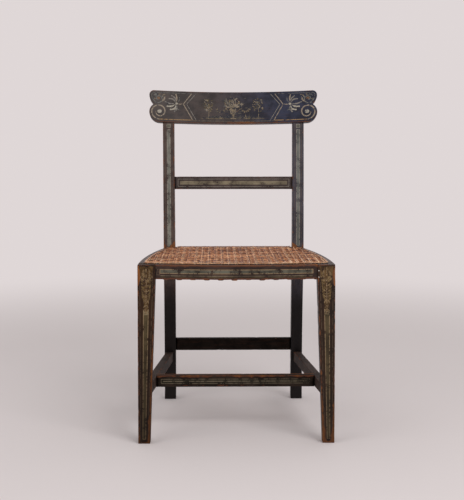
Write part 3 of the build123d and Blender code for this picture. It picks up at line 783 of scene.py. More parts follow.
def post_x(z):
    """Middle of a post's width, away from the chair's middle, at height z."""
    return float(np.interp(z, *zip(*POST_SPREADS))) / 2 - POST_WIDTH / 2


POST_INNER = post_x(SEAT_TOP) - POST_WIDTH / 2  # faces of the posts at the seat
POST_OUTER = post_x(SEAT_TOP) + POST_WIDTH / 2


def post_stations(side):
    """Stations of a back post, each from a point of its front face to one of its back face."""
    for front, back in zip(*post_side_view()):
        y, z = (front + back) / 2
        depth = np.linalg.norm(back - front)
        through = (back - front) / depth
        yield (side * post_x(z), y, z), RIGHT, (0, *through), POST_WIDTH / 2, depth / 2, front[1]


def post_rub(point):
    """Cleaning has worn the foot of the stile where it meets the cane, most on its inner side."""
    inner = 1 - (abs(point[0]) - POST_INNER) / POST_WIDTH
    foot = limited(1.4 - abs(point[2] - SEAT_TOP - 0.003) / 0.009)
    return foot * (0.30 + 1.30 * inner)


print("at the seat the back posts stand", round(2 * POST_INNER, 3), "m apart")

# %% The paint of the posts
post_block = band(0.0042, POST_BAND_ENDS[1] + 0.0065, POST_BAND_ENDS[1] + 0.0150, GREEN_GREY,
                  lines=((0.0006, 0.0005),))
for side, hand, fill, wear in ((-1, "left", PALE_SAGE, -0.0014), (1, "right", SAGE, -0.0028)):
    post_band = band(0.0036, *POST_BAND_ENDS, fill, lines=((0.0008, 0.0006),))
    # The posts' paler ground is a painted sheen of the sky. Towards the right it turns blue as a painted
    # reflection, and below the seat it darkens as painted shade.
    post_paint = painted_wood(f"{hand} post paint", POST_BLACK, [post_band, post_block], wear=wear,
                              ground_width=0.0020, cool_sheen=POST_BLUE_SHEEN, rim=(0.0052, 0.0004),
                              low_shade=(SEAT_TOP - 0.170, SEAT_TOP - 0.070, 0.94))
    stick(f"{hand}_post_stick", post_stations(side), post_paint, f"{hand}_back_post", seed=7 + side,
          dents=24, shown_ends=(True, False), rub=post_rub)

# %% [markdown]
# ## Seat rails
# The front rail swells forward and the side rails swell outward, each in a plain arc, so both
# are cut between two arcs with one centre. A straight bar could be bent by a modifier. Stations
# along the arc itself keep the length true, so the painted bands end where they should. The
# painted face is the outer one.

# %% Seat rails
RAIL_WIDTH, FRONT_BOW, SIDE_BOW = 0.036, 0.016, 0.0115
RAIL_MIDDLE = (RAIL_UNDER + SEAT_TOP) / 2
RAIL_HALF = (SEAT_TOP - RAIL_UNDER) / 2
REAR_RAIL_WIDTH = 0.030
FRONT_BAND = 0.181  # half the length of the front rail's bands
SIDE_BAND = 0.150


def arc_centre(start, end, bow):
    """Centre and radius of the arc that stands bow off the line from start to end, outward."""
    start, end = np.array(start), np.array(end)
    chord = end - start
    radius = (chord @ chord / 4 + bow**2) / (2 * bow)
    outward = np.array([chord[1], -chord[0]]) / np.linalg.norm(chord)
    return (start + end) / 2 - outward * (radius - bow), radius


FRONT_ARC = arc_centre((-LEG_INNER, FRONT_Y), (LEG_INNER, FRONT_Y), FRONT_BOW)
SIDE_ARC = arc_centre((HALF_FRONT, FRONT_Y), (POST_OUTER, SEAT_BACK), SIDE_BOW)


def arc_rail(arc, start, end, mirrored=1):
    """Stations along a bowed rail whose outer face lies on the arc, between two plan points."""
    centre, radius = arc
    first, last = (math.atan2(*(np.array(point) - centre)[::-1]) for point in (start, end))
    for angle in np.linspace(first, last, round(radius * abs(last - first) / STATION_STEP) + 1):
        outward = np.array([math.cos(angle), math.sin(angle)])
        x, y = centre + outward * (radius - RAIL_WIDTH / 2)
        along = radius * (angle - (first + last) / 2)
        yield ((mirrored * x, y, RAIL_MIDDLE), UP, (-mirrored * outward[0], -outward[1], 0),
               RAIL_HALF, RAIL_WIDTH / 2, along)


def rail_rub(point):
    """Legs and clothes rub the rail's top and upper edge, and its lower edge in patches."""
    x, z = point[0], point[2]
    low = fading(z - RAIL_UNDER, 0.006) * (0.09 + 0.18 * math.sin(x * 61.0) ** 2)
    high = fading(SEAT_TOP - z, 0.004) * 0.12
    flat_top = 0.62 + 0.26 * math.sin(x * 43.0) if SEAT_TOP - z < 0.0001 else 0.0
    chipped = fading(LEG_INNER - x, 0.007) * fading(SEAT_TOP - z, 0.014)
    return low + high + flat_top + chipped


print("the front rail bends to a radius of", round(FRONT_ARC[1], 2), "m")

# %% The front and the side rails
front_bands = [
    band(0.0036, -FRONT_BAND, FRONT_BAND, GREEN_GREY, LINE_OCHRE, OUTLINE, centre=0.0020, lost=0.34),
    band(0.0007, -FRONT_BAND, FRONT_BAND, OCHRE, centre=-0.0082),
    band(0.0015, -FRONT_BAND, FRONT_BAND, OLIVE, centre=-0.0114, lost=0.36),
]
front_bands += [  # what is left of a small flower at the left end
    band(0.0006, -0.1868, -0.1862, RAIL_BLACK, LINE_BROWN, ((0.0030, 0.0007),), centre=-0.0030,
         lost=0.0),
    band(0.0016, -0.1878, -0.1866, CAP, centre=0.0055, lost=0.1),
    band(0.0013, -0.1920, -0.1911, CAP, centre=0.0100, lost=0.1),
]
rail_paint = painted_wood("front rail paint", RAIL_BLACK, front_bands, wear=-0.0026,
                          ground_width=0.0040, shine=0.14)
front_rail = arc_rail(FRONT_ARC, (-LEG_INNER - SINK, FRONT_Y), (LEG_INNER + SINK, FRONT_Y))
stick("front_rail_stick", front_rail, rail_paint, "front_seat_rail", seed=11, dents=22, rub=rail_rub)

side_band = band(0.0036, -SIDE_BAND, SIDE_BAND, GREEN_GREY, LINE_OCHRE, OUTLINE, centre=0.0020)
side_paint = painted_wood("side rail paint", RAIL_BLACK, [side_band], wear=-0.0008)
for side, hand in ((-1, "left"), (1, "right")):
    side_rail = arc_rail(SIDE_ARC, (HALF_FRONT, FRONT_Y + LEG_TOP[1] - SINK),
                         (POST_OUTER, SEAT_BACK + SINK), side)
    stick(f"{hand}_rail_stick", side_rail, side_paint, f"{hand}_side_seat_rail", seed=13 + side,
          dents=12)

# %% Level bars, and the rear rail
BAR_STEP = 0.008


def bar(start, end, half_u, half_v, lean=(0.0, 1.0)):
    """Stations of a level bar. Lean is its depth direction in the side view, as (down, back)."""
    start, end = Vector(start), Vector(end)
    run = (end - start).normalized()
    if abs(run.x) > abs(run.y):
        v_axis = Vector((0, lean[1], -lean[0]))
    else:
        v_axis = Vector((run.y, -run.x, 0)) * (1 if start.x < 0 else -1)  # towards the middle
    u_axis = run.cross(v_axis)
    u_axis = u_axis if u_axis.z > 0 else -u_axis
    length = (end - start).length
    for along in heights(-length / 2, length / 2, BAR_STEP):
        yield (start + end) / 2 + run * along, u_axis, v_axis, half_u, half_v, along


def crossbar(x, y, z, half_u, half_v, lean=(0.0, 1.0)):
    """Stations of a level bar that goes straight across the chair, from -x to x."""
    return bar((-x, y, z), (x, y, z), half_u, half_v, lean)


def between_posts(z):
    """Half the length of a bar between the posts at height z, with its hidden end."""
    return post_x(z) - POST_WIDTH / 2 + SINK


# The darkest ground on these rear pieces is painted shade.
plain_paint = painted_wood("plain paint", BLACK, [], wear=-0.0040, shine=0.05)
rear_rail = crossbar(between_posts(SEAT_TOP), SEAT_BACK + REAR_RAIL_WIDTH / 2, RAIL_MIDDLE,
                     RAIL_HALF, REAR_RAIL_WIDTH / 2)
stick("rear_rail_stick", rear_rail, plain_paint, "rear_seat_rail", seed=17, dents=8)

# %% [markdown]
# ## Cross rail and stretchers
# These are straight bars. The cross rail leans back with the posts. The middle stretcher is
# where feet rest, so its top is rubbed down to the red ground and the wood along its whole
# length. Boxes would do for their shape, but as sticks they get the eased edges, the dents and
# the wear of their neighbours.

# %% The cross rail
CROSS_HALF = (0.0171, 0.008)  # half its height and half its depth, as for the stretchers below
CROSS_MIDDLE = 0.607  # height at which it lies between the stiles
CROSS_INSET = 0.003  # behind the front of the stiles
CROSS_BAND = 0.147  # half the length of its band

stile_front, stile_back = post_side_view()
near = int(np.argmin(abs(stile_front[:, 1] - CROSS_MIDDLE)))
through = stile_back[near] - stile_front[near]
through = through / np.linalg.norm(through)
face_y = float(np.interp(CROSS_MIDDLE, stile_front[:, 1], stile_front[:, 0]))
cross_y, cross_z = np.array([face_y, CROSS_MIDDLE]) + through * (CROSS_INSET + CROSS_HALF[1])
cross_rail = crossbar(between_posts(cross_z), cross_y, cross_z, *CROSS_HALF,
                      lean=(-through[1], through[0]))
cross_band = band(0.0050, -CROSS_BAND, CROSS_BAND, OCHRE, lines=((0.0052, 0.0004),))
cross_paint = painted_wood("cross rail paint", CROSS_BLACK, [cross_band], wear=-0.0022)
stick("cross_rail_stick", cross_rail, cross_paint, "back_cross_rail", seed=19, dents=10)

# %% The rear and the side stretchers
SIDE_HALF, REAR_HALF = (0.013, 0.010), (0.0165, 0.009)
STRETCHER_UNDER, REAR_UNDER = 0.1085, 0.1385
REAR_LEG_HALF = 0.015  # half the depth of a rear leg where a side stretcher meets it


def rear_leg_middle(z):
    """Depth of the middle of a rear leg at height z."""
    return sum(float(np.interp(z, face[:, 1], face[:, 0])) for face in post_side_view()) / 2


def side_line(side):
    """Where the line of a side stretcher starts and ends, in the middles of its two legs."""
    z = STRETCHER_UNDER + SIDE_HALF[0]
    return Vector(leg_middle(side, z)), Vector((side * post_x(z), rear_leg_middle(z), z))


rear_z = REAR_UNDER + REAR_HALF[0]
rear_stretcher = crossbar(between_posts(rear_z), rear_leg_middle(rear_z), rear_z, *REAR_HALF)
stick("rear_stretcher_stick", rear_stretcher, plain_paint, "rear_stretcher", seed=23, dents=8)

stretcher_paint = painted_wood("side stretcher paint", SIDE_BROWN, [], wear=-0.0022, shine=0.08)
for side, hand in ((-1, "left"), (1, "right")):
    front, rear = side_line(side)
    run = (rear - front).normalized()
    start = front + run * (leg_size(front.z)[1] / 2 - SINK) / run.y
    end = rear - run * (REAR_LEG_HALF - SINK) / run.y
    stick(f"{hand}_stretcher_stick", bar(start, end, *SIDE_HALF), stretcher_paint,
          f"{hand}_side_stretcher", seed=29 + side, dents=10)

# %% The middle stretcher
MIDDLE_HALF, MIDDLE_SETBACK = (0.01425, 0.011), 0.120
MIDDLE_BAND = 0.185  # half the length of its band


def foot_rub(point):
    """Shoes wear the top of the middle stretcher, most of all in its middle."""
    top = STRETCHER_UNDER + 2 * MIDDLE_HALF[0]
    backward = (point[1] - FRONT_Y - MIDDLE_SETBACK) / (2 * MIDDLE_HALF[1])
    trodden = 0.10 + 0.40 * backward - abs(point[0]) * 0.6
    below = point[2] < STRETCHER_UNDER + 0.004
    return fading(top - point[2], 0.003) * trodden - 0.35 * below


middle_y, middle_z = FRONT_Y + MIDDLE_SETBACK + MIDDLE_HALF[1], STRETCHER_UNDER + MIDDLE_HALF[0]
front, rear = side_line(1)
share = (middle_y - front.y) / (rear.y - front.y)
middle_x = front.x + (rear.x - front.x) * share - SIDE_HALF[1] + SINK
middle_band = band(0.0046, -MIDDLE_BAND, MIDDLE_BAND, DIM_OLIVE, LINE_DIM,
                   ((0.0008, 0.0005), (-0.0042, 0.0004)), lost=0.08)
middle_paint = painted_wood("middle stretcher paint", STRETCHER_BROWN, [middle_band], wear=-0.0012,
                            ground_width=0.0030, shine=0.05)
stick("middle_stretcher_stick", crossbar(middle_x, middle_y, middle_z, *MIDDLE_HALF), middle_paint,
      "middle_stretcher", seed=31, dents=14, rub=foot_rub)

# %% [markdown]
# ## The crest rail
# The crest is a shaped board that bends round the sitter's shoulders. Its front and back are
# arcs with one centre, and it leans back by eleven degrees. Both ends are sawn to two lobes
# with a notch between them. Its outline is drawn flat from lines and arcs and then laid on the
# bent faces. One large face can't bend, so the middle of each is filled with small triangles of
# even size: the board bends smoothly, and each point can carry its distance to the outline.

# %% The outline of the crest
CREST_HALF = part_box("crest_rail")[1].x
CREST_HEIGHT, CREST_THICKNESS, CREST_BOW = 0.0887, 0.022, 0.028
UPPER_CORNER, LOWER_CORNER, UPPER_LOBE, NOTCH_DEPTH = 0.013, 0.028, 0.0387, 0.0125
CREST_RADIUS = (CREST_HALF**2 + CREST_BOW**2) / (2 * CREST_BOW)
CREST_CENTRE = -math.sqrt(CREST_RADIUS**2 - post_x(SHOULDER_HEIGHT) ** 2)  # it meets the posts flush


def crest_outline():
    """The outline as points (x, z) on the flat board, clockwise from the middle of the top."""
    notch = (CREST_HALF - NOTCH_DEPTH, CREST_HEIGHT - UPPER_LOBE)
    shoulder = (CREST_HALF, CREST_HEIGHT - UPPER_CORNER)
    heel = (CREST_HALF, LOWER_CORNER)
    parts = [
        straight((0, CREST_HEIGHT), (CREST_HALF - UPPER_CORNER, CREST_HEIGHT), 0.004),
        tangent_arc((CREST_HALF - UPPER_CORNER, CREST_HEIGHT), (1, 0), shoulder, 10),
        tangent_arc(shoulder, (0, -1), notch, 14),
        tangent_arc(heel, (0, 1), notch, 12)[::-1],
        tangent_arc(heel, (0, -1), (CREST_HALF - LOWER_CORNER, 0), 20),
        straight((CREST_HALF - LOWER_CORNER, 0), (0, 0), 0.004),
    ]
    right = np.concatenate([part[1:] for part in parts])
    left = right[:-1][::-1] * (-1, 1)
    return np.concatenate([right, left, [(0, CREST_HEIGHT)]])


def crest_place(flat, depth):
    """Points (x, z) of the flat board laid on the bent one, at a depth behind its front face."""
    flat = np.asarray(flat, float)
    front, back = (CREST_CENTRE + np.sqrt(radius**2 - flat[:, 0] ** 2)
                   for radius in (CREST_RADIUS, CREST_RADIUS + CREST_THICKNESS))
    behind = front + (back - front) * depth / CREST_THICKNESS
    side_view = SHOULDER + behind[:, None] * ACROSS + flat[:, 1:] * LEAN
    return np.concatenate([flat[:, :1], side_view], 1)


def pulled_in(outline, inset):
    """A clockwise outline moved inward."""
    run = np.roll(outline, -1, 0) - np.roll(outline, 1, 0)
    inward = np.stack([run[:, 1], -run[:, 0]], -1)
    return outline + inward / np.linalg.norm(inward, axis=1, keepdims=True) * inset


def outline_distance(points, outline):
    """Distance of each point from the closed outline."""
    run = np.roll(outline, -1, 0) - outline
    offset = points[:, None] - outline
    share = np.clip((offset * run).sum(-1) / (run**2).sum(-1), 0, 1)
    return np.linalg.norm(offset - run * share[..., None], axis=-1).min(1)


outline = crest_outline()
print("crest outline:", len(outline), "points, bent to a radius of", round(CREST_RADIUS, 3), "m")

# %% Filling the faces of the crest
CREST_EASE, EASE_STEPS = 0.0016, 3
CREST_GRID = 0.0045  # from point to point on the faces
ROW_SHARE = 0.87  # rows of even triangles lie this much closer than their points
RIM_CLEAR = 0.55  # of the grid, kept free between the outline and the first points


def filled(ring):
    """Points in an even grid inside a clockwise ring, and triangles over both, ring first."""
    rows = []
    for row, z in enumerate(np.arange(0, CREST_HEIGHT, CREST_GRID * ROW_SHARE)):
        shift = (row % 2) * CREST_GRID / 2
        rows += [(x, z) for x in np.arange(shift - CREST_HALF, CREST_HALF, CREST_GRID)]
    grid = np.array(rows)
    grid = grid[outline_distance(grid, ring) > CREST_GRID * RIM_CLEAR]
    points = [Vector(point) for point in (*ring, *grid)]
    loop = list(range(len(ring)))[::-1]
    result = geometry.delaunay_2d_cdt(points, [], [loop], 1, 1e-7)
    faces, sources = result[2], [source[0] for source in result[3]]
    faces = [[sources[index] for index in face] for face in faces]
    used = sorted({source for face in faces for source in face if source >= len(ring)})
    renumber = {source: len(ring) + place for place, source in enumerate(used)}
    faces = [[renumber.get(source, source) for source in face] for face in faces]
    return np.array([points[source][:] for source in used]), faces


print("each face of the crest holds", len(filled(outline)[0]), "points inside its outline")

# %% The crest board
CREST_STOCK = 2.0  # where in the noise the crest lies, away from the other sticks
PALE_TOP_REACH = 0.195  # half the length of the paler band along the top


def crest_rub(flat):
    """The lower edge is worn where it is gripped, right of the middle."""
    gripped = np.clip(1.2 - np.abs(flat[:, 0] - 0.030) / 0.055, 0.25, 1)
    return gripped * np.clip(1 - flat[:, 1] / 0.006, 0, 1) * 0.8


def crest_profile():
    """How far the outline is pulled in, and how deep it then lies, from the front to the back."""
    turns = [math.pi / 2 * step / EASE_STEPS for step in range(EASE_STEPS + 1)][::-1]
    profile = [(CREST_EASE * (1 - math.cos(turn)), CREST_EASE * (1 - math.sin(turn))) for turn in turns]
    profile += [(0.0, depth) for depth in heights(CREST_EASE, CREST_THICKNESS / 2, 0.003)[1:]]
    return profile + [(inset, CREST_THICKNESS - depth) for inset, depth in profile[-2::-1]]


def crest_board(material):
    """The whole crest: rings round its edge, and its front and back filled with triangles."""
    rings = [(pulled_in(outline, inset), inset, depth) for inset, depth in crest_profile()]
    board, count = Skin(), len(outline)

    def numbers(flat, edge, depth, front):
        stock = np.stack([flat[:, 1], np.full(len(flat), depth), flat[:, 0] + CREST_STOCK], -1)
        return dict(edge=edge, front=np.full(len(flat), front), across=flat[:, 1], along=flat[:, 0],
                    stock=stock, rub=crest_rub(flat))

    for flat, inset, depth in rings:
        edge = np.full(count, abs(inset - min(depth, CREST_THICKNESS - depth)))
        board.add(crest_place(flat, depth), [], **numbers(flat, edge, depth, 0.0))
    for row in range(len(rings) - 1):
        here = [row * count + place for place in range(count)]
        board.extend([[a, b, b + count, a + count] for a, b in zip(here, here[1:] + here[:1])], 0)
    for ring, depth, front in ((0, 0.0, 1.0), (len(rings) - 1, CREST_THICKNESS, 0.0)):
        inside, faces = filled(rings[ring][0])
        start, base = board.count - count, ring * count
        faces = [[index + (base if index < count else start) for index in face] for face in faces]
        faces = faces if front else [face[::-1] for face in faces]
        edge = outline_distance(inside, outline)
        board.add(crest_place(inside, depth), faces, **numbers(inside, edge, depth, front))
    return board.piece("crest_board", [material], "painted_wood", ["crest_rail"])


# A paler band along the top edge of the crest's front face.
pale_top_band = band(0.0019, -PALE_TOP_REACH, PALE_TOP_REACH, PALE_TOP, centre=0.0870, lost=0.36)
# The crest's paler ground is a painted sheen of the sky, and towards the right it turns blue as a
# painted reflection.
crest_paint = painted_wood("crest paint", CREST_BLACK, [pale_top_band], wear=-0.0034,
                           ground_width=0.0042, cool_sheen=CREST_BLUE_SHEEN)
crest_board(crest_paint)

# %% [markdown]
# ## Gilding and painted ornament
# The ornament is laid on with a brush and gold size, a hair's breadth thick. Each stroke is
# modelled as just that: a path on the painted face, with a width that swells and tapers, and a
# low rounded back that catches the light. An image of the ornament would be quicker, but it is
# flat, and blurs from close by. Gold that was gilded with leaf is now pale and dull,
# some of it as grey as old silver, and the bronze powders beside it have turned ochre, sienna
# and olive. On the legs they look warmer, under browner varnish. All of it is rubbed, so its
# recipe lets the dark ground show through in patches.

# %% Gold and bronze powders


def ornament_paint(name, light, dark, worn=0.42, ground=CREST_BLUE_SHEEN[0]):
    """Gilding or bronze powder, rubbed through to the ground where noise is below worn."""
    recipe = Recipe(name)
    recipe.shader.inputs["Specular IOR Level"].default_value = 0.2
    where = recipe.add("TexCoord", {}, 3)
    patches, specks = recipe.noise(where, 130, 4.0), recipe.noise(where, 900, 3.0)
    broken = recipe.swayed(patches, specks, 0.7)
    leaf = recipe.mix(recipe.step(specks, 0.35, 0.65), colour(*dark), colour(*light))
    surface = recipe.mix(recipe.step(broken, worn + 0.10, worn - 0.06), leaf, ground)
    roughness = recipe.sum("MULTIPLY_ADD", specks, 0.25, 0.35)
    return recipe.done(surface, roughness, recipe.bump(specks, 0.0001))


ORNAMENT = {  # each with its lighter and its darker colour, and how much of it is worn
    "pale": ornament_paint("pale gilding", (0.43, 0.395, 0.32), (0.235, 0.210, 0.168), 0.37),
    "silver": ornament_paint("tarnished silver", (0.245, 0.220, 0.190), (0.140, 0.126, 0.110), 0.39),
    "tan": ornament_paint("darkened gilding", (0.33, 0.265, 0.195), (0.190, 0.153, 0.114), 0.39),
    "gold": ornament_paint("dull gold", (0.40, 0.25, 0.11), (0.23, 0.14, 0.065), 0.38),
    "khaki": ornament_paint("bronze powder", (0.225, 0.174, 0.110), (0.128, 0.097, 0.060)),
    "sienna": ornament_paint("sienna", (0.20, 0.110, 0.056), (0.12, 0.063, 0.032)),
    "olive": ornament_paint("olive", (0.140, 0.108, 0.050), (0.074, 0.056, 0.026)),
    "grey": ornament_paint("grey green", (0.175, 0.170, 0.150), (0.100, 0.099, 0.089)),
    "haze": ornament_paint("thin scumble", (0.100, 0.088, 0.068), (0.066, 0.059, 0.049), 0.47),
}
LEG_ORNAMENT = {
    paint: ornament_paint(f"leg {name}", light, dark, worn, LEG_BLACK[1])
    for paint, name, light, dark, worn in (
        ("tan", "gilding", (0.35, 0.24, 0.14), (0.20, 0.14, 0.085), 0.44),
        ("khaki", "bronze powder", (0.235, 0.155, 0.078), (0.135, 0.087, 0.042), 0.45),
        ("olive", "olive", (0.165, 0.108, 0.042), (0.092, 0.058, 0.024), 0.46),
    )
}

# %% Brush strokes
STROKE_HEIGHT, STROKE_STEP = 0.00016, 0.003
STROKE_SECTION = ((-1.0, -0.6), (-0.7, 0.7), (0.0, 1.0), (0.7, 0.7), (1.0, -0.6))  # side, lift


def smooth(*points, count=14):
    """A smooth path through a few points."""
    points = np.array(points, float)
    ends = np.concatenate([[2 * points[0] - points[1]], points, [2 * points[-1] - points[-2]]])
    path = []
    for a, b, c, d in zip(ends, ends[1:], ends[2:], ends[3:]):
        for t in np.linspace(0, 1, count, endpoint=False):
            path.append(0.5 * (2 * b + (c - a) * t + (2 * a - 5 * b + 4 * c - d) * t**2
                               + (3 * b - 3 * c + d - a) * t**3))
    return np.array(path + [points[-1]])


class Painter:
    """Lays strokes on one face of a piece. Place turns (u, v, depth) on it into points."""

    def __init__(self, place, paints=ORNAMENT):
        self.place, self.paints, self.skin = place, paints, Skin()

    def stroke(self, path, widths, paint):
        """One stroke along a path, as wide at each point as widths say."""
        path = np.asarray(path, float)
        widths = np.broadcast_to(widths, len(path))
        run = np.gradient(path, axis=0)
        run /= np.linalg.norm(run, axis=1, keepdims=True)
        beside = np.stack([-run[:, 1], run[:, 0]], -1)
        rings = [self.place(path + beside * (widths[:, None] / 2 * share), -lift * STROKE_HEIGHT)
                 for share, lift in STROKE_SECTION]
        self.skin.loft(np.stack(rings, 1), list(self.paints).index(paint))

    def line(self, points, width, paint):
        """Straight strokes through points, thinned a little at both ends."""
        for start, end in zip(points, points[1:]):
            path = straight(start, end, STROKE_STEP)
            widths = np.full(len(path), width)
            widths[[0, -1]] *= 0.6
            self.stroke(path, widths, paint)

    def leaf(self, points, width, paint, fullest=0.6):
        """A stroke that swells towards its tip and closes in a point."""
        path = smooth(*points)
        share = np.linspace(0, 1, len(path))
        swell = np.sin(np.pi * share ** (math.log(0.5) / math.log(fullest)))
        self.stroke(path, width * np.clip(swell, 0.1, 1) ** 0.8, paint)

    def dot(self, centre, radius, paint):
        """A round touch: a short stroke as wide as a circle is."""
        turns = np.linspace(0.12, math.pi - 0.12, 13)
        path = np.array(centre) + np.stack([-radius * np.cos(turns), 0 * turns], -1)
        self.stroke(path, 2 * radius * np.sin(turns), paint)

    def piece(self, name):
        """All strokes of this painter, as one piece of the chair."""
        return self.skin.piece(name, self.paints.values(), "painted_wood")


print("a painter has", methods(Painter))

# %% [markdown]
# ## Scrolls and palmettes on the crest
# Each end of the crest has a volute in its lower lobe, a small leaf scroll in the upper lobe, a
# palmette that opens outward, and a double chevron that closes the middle panel. Thin lines run
# near the edge. Curves are far easier to draw flat, so each figure is a function that draws on
# the flat board, and the painter lays its strokes on the bent one. Both ends are the same
# drawing, turned over.

# %% The volute
VOLUTE = (CREST_HALF - 0.028, 0.0300)
VOLUTE_RADII = (0.0222, 0.0214, 0.0168, 0.0145, 0.0132, 0.0102)
SPIRAL_POINTS = 60


def spiral(centre, turns, radii):
    """Path round a centre: the radius goes smoothly through radii, spread evenly over the turn."""
    angle = np.linspace(*turns, SPIRAL_POINTS)
    radius = np.interp(np.linspace(0, len(radii) - 1, SPIRAL_POINTS), range(len(radii)), radii)
    return np.array(centre) + np.stack([radius * np.cos(angle), radius * np.sin(angle)], -1)


def crest_side(hand):
    """Painter for one half of the crest. Its u axis points to that end of the crest."""
    return Painter(lambda flat, depth: crest_place(flat * (hand, 1), depth))


def volute(brush):
    """A spiral round a pale eye. Its stem runs in along the crest's lower edge."""
    x, z = VOLUTE
    path = spiral(VOLUTE, (-math.pi / 2, math.pi * 2), VOLUTE_RADII)
    share = np.linspace(0, 1, len(path))
    brush.stroke(path, np.interp(share, (0, 0.15, 0.8, 1), (0.0026, 0.0042, 0.0038, 0.0014)), "tan")
    brush.dot(VOLUTE, 0.0060, "pale")
    under = z - VOLUTE_RADII[0]
    brush.line([(0.114, under), (x, under)], 0.0023, "gold")


print("the volute winds from", VOLUTE_RADII[0], "in to", VOLUTE_RADII[-1], "m")

# %% The palmette and the leaf scroll
PALMETTE = (0.157, 0.0530)
CURL = (0.2060, 0.0670)  # middle of the leaf scroll


def palmette(brush):
    """A palmette that opens outward, of petals round its heart."""
    heart = np.array(PALMETTE)
    petals = [  # tip, sideways bend of the middle, width, paint
        ((0.0020, 0.0265), 0.0018, 0.0038, "tan"),
        ((0.0135, 0.0225), 0.0042, 0.0038, "silver"),
        ((0.0205, 0.0140), 0.0044, 0.0042, "silver"),
        ((0.0320, 0.0045), -0.0028, 0.0042, "silver"),
        ((0.0255, -0.0085), -0.0030, 0.0050, "pale"),
        ((0.0165, -0.0175), -0.0056, 0.0050, "pale"),
        ((0.0060, -0.0225), -0.0038, 0.0046, "silver"),
        ((-0.0080, -0.0185), 0.0050, 0.0026, "grey"),
        ((-0.0150, -0.0005), 0.0010, 0.0024, "tan"),
        ((-0.0080, 0.0200), 0.0030, 0.0024, "grey"),
    ]
    for tip, bend, width, paint in petals:
        width, tip = width * 1.15, np.array(tip)
        side = np.array((-tip[1], tip[0])) / np.linalg.norm(tip)
        path = [heart + tip * 0.10, heart + tip * 0.55 + side * bend, heart + tip]
        brush.leaf(path, width, paint, 0.62)
        if paint != "grey":
            brush.dot(heart + tip * 0.97, width * 0.48, paint)
    brush.dot(heart, 0.0036, "pale")


def leaf_scroll(brush):
    """The curl in the upper lobe, with leaves that spring from its stem."""
    stem = smooth((0.216, 0.0545), (0.206, 0.0540), (0.198, 0.0590), (0.1975, 0.0680),
                  (0.205, 0.0735), (0.2125, 0.0700), (0.2115, 0.0640), (0.2065, 0.0640))
    brush.stroke(stem, 0.0030, "grey")
    brush.dot(CURL, 0.0046, "sienna")
    brush.leaf([(0.1995, 0.0570), (0.1925, 0.0620), (0.1885, 0.0725)], 0.0050, "tan")
    brush.leaf([(0.1970, 0.0690), (0.1930, 0.0760), (0.1850, 0.0785)], 0.0044, "khaki")
    brush.leaf([(0.2060, 0.0740), (0.2130, 0.0785), (0.2205, 0.0730)], 0.0040, "grey")
    brush.leaf([(0.2120, 0.0550), (0.2190, 0.0600), (0.2215, 0.0680)], 0.0030, "grey")
    for number, turn in enumerate(np.linspace(-0.3, 3.5, 5)):
        leaf = []
        for reach, twist in ((0.0080, 0.0), (0.0108, 0.10), (0.0136, 0.42)):
            x, z = reach * math.cos(turn + twist), reach * math.sin(turn + twist)
            leaf.append((CURL[0] + x, CURL[1] + z))
        brush.leaf(leaf, 0.0032, ("khaki", "grey")[number % 2])


print("the heart of the palmette lies", PALMETTE[0], "m from the middle of the crest")

# %% Both ends of the crest
BORDER_INSET = 0.0062


def chevron(brush):
    """Two lines that point away from the middle of the crest, and close its panel."""
    brush.line([(0.1155, 0.0825), (0.1385, 0.0525), (0.1125, 0.0078)], 0.0026, "tan")
    brush.line([(0.1040, 0.0820), (0.1295, 0.0525), (0.1030, 0.0085)], 0.0020, "silver")


def border(brush):
    """Thin lines near the edge: over the upper lobe and along the bottom."""
    inner = pulled_in(outline, BORDER_INSET)
    right = inner[: len(inner) // 2]
    above = right[right[:, 1] > CREST_HEIGHT - UPPER_LOBE + 0.004]
    brush.stroke(above[above[:, 0] > 0.113], 0.0014, "grey")
    brush.line([(0.002, BORDER_INSET), (0.112, BORDER_INSET)], 0.0014, "khaki")


for hand, name in ((-1, "left"), (1, "right")):
    brush = crest_side(hand)
    for figure in (volute, palmette, leaf_scroll, chevron, border):
        figure(brush)
    brush.piece(f"{name}_crest_ornament")

# %% [markdown]
# ## The middle panel
# Between the chevrons the crest carries a small painted scene in the same muted colours. Here it
# is a footed urn with leaves, swags of husks that hang from it to both sides, and a little tree
# at either end, all standing on a thin ground line. The strokes are laid over each other as a
# painter does it: a thin scumble first, and each shape before its lights. Every leaf could be
# placed by hand, but random touches look freer, and a fixed seed repeats them on every run.

# %% The urn and its bouquet
GROUND_LINE = 0.0125
URN_TOP = 0.0480
CROWN_REACH = 0.0155  # half the width of a little tree
URN_SHAPE = (  # share of its height, and its width there
    (0.0, 0.0160), (0.06, 0.0150), (0.10, 0.0055), (0.24, 0.0045), (0.34, 0.0110), (0.52, 0.0240),
    (0.70, 0.0285), (0.82, 0.0220), (0.90, 0.0120), (0.95, 0.0120), (0.98, 0.0190), (1.0, 0.0185),
)
URN_LIGHTS = ("olive", "tan", "tan", "khaki", "tan", "tan", "sienna")  # from left to right
URN_RINGS = ((0.03, 0.0072, "tan"), (0.16, 0.0022, "khaki"), (0.985, 0.0088, "tan"))


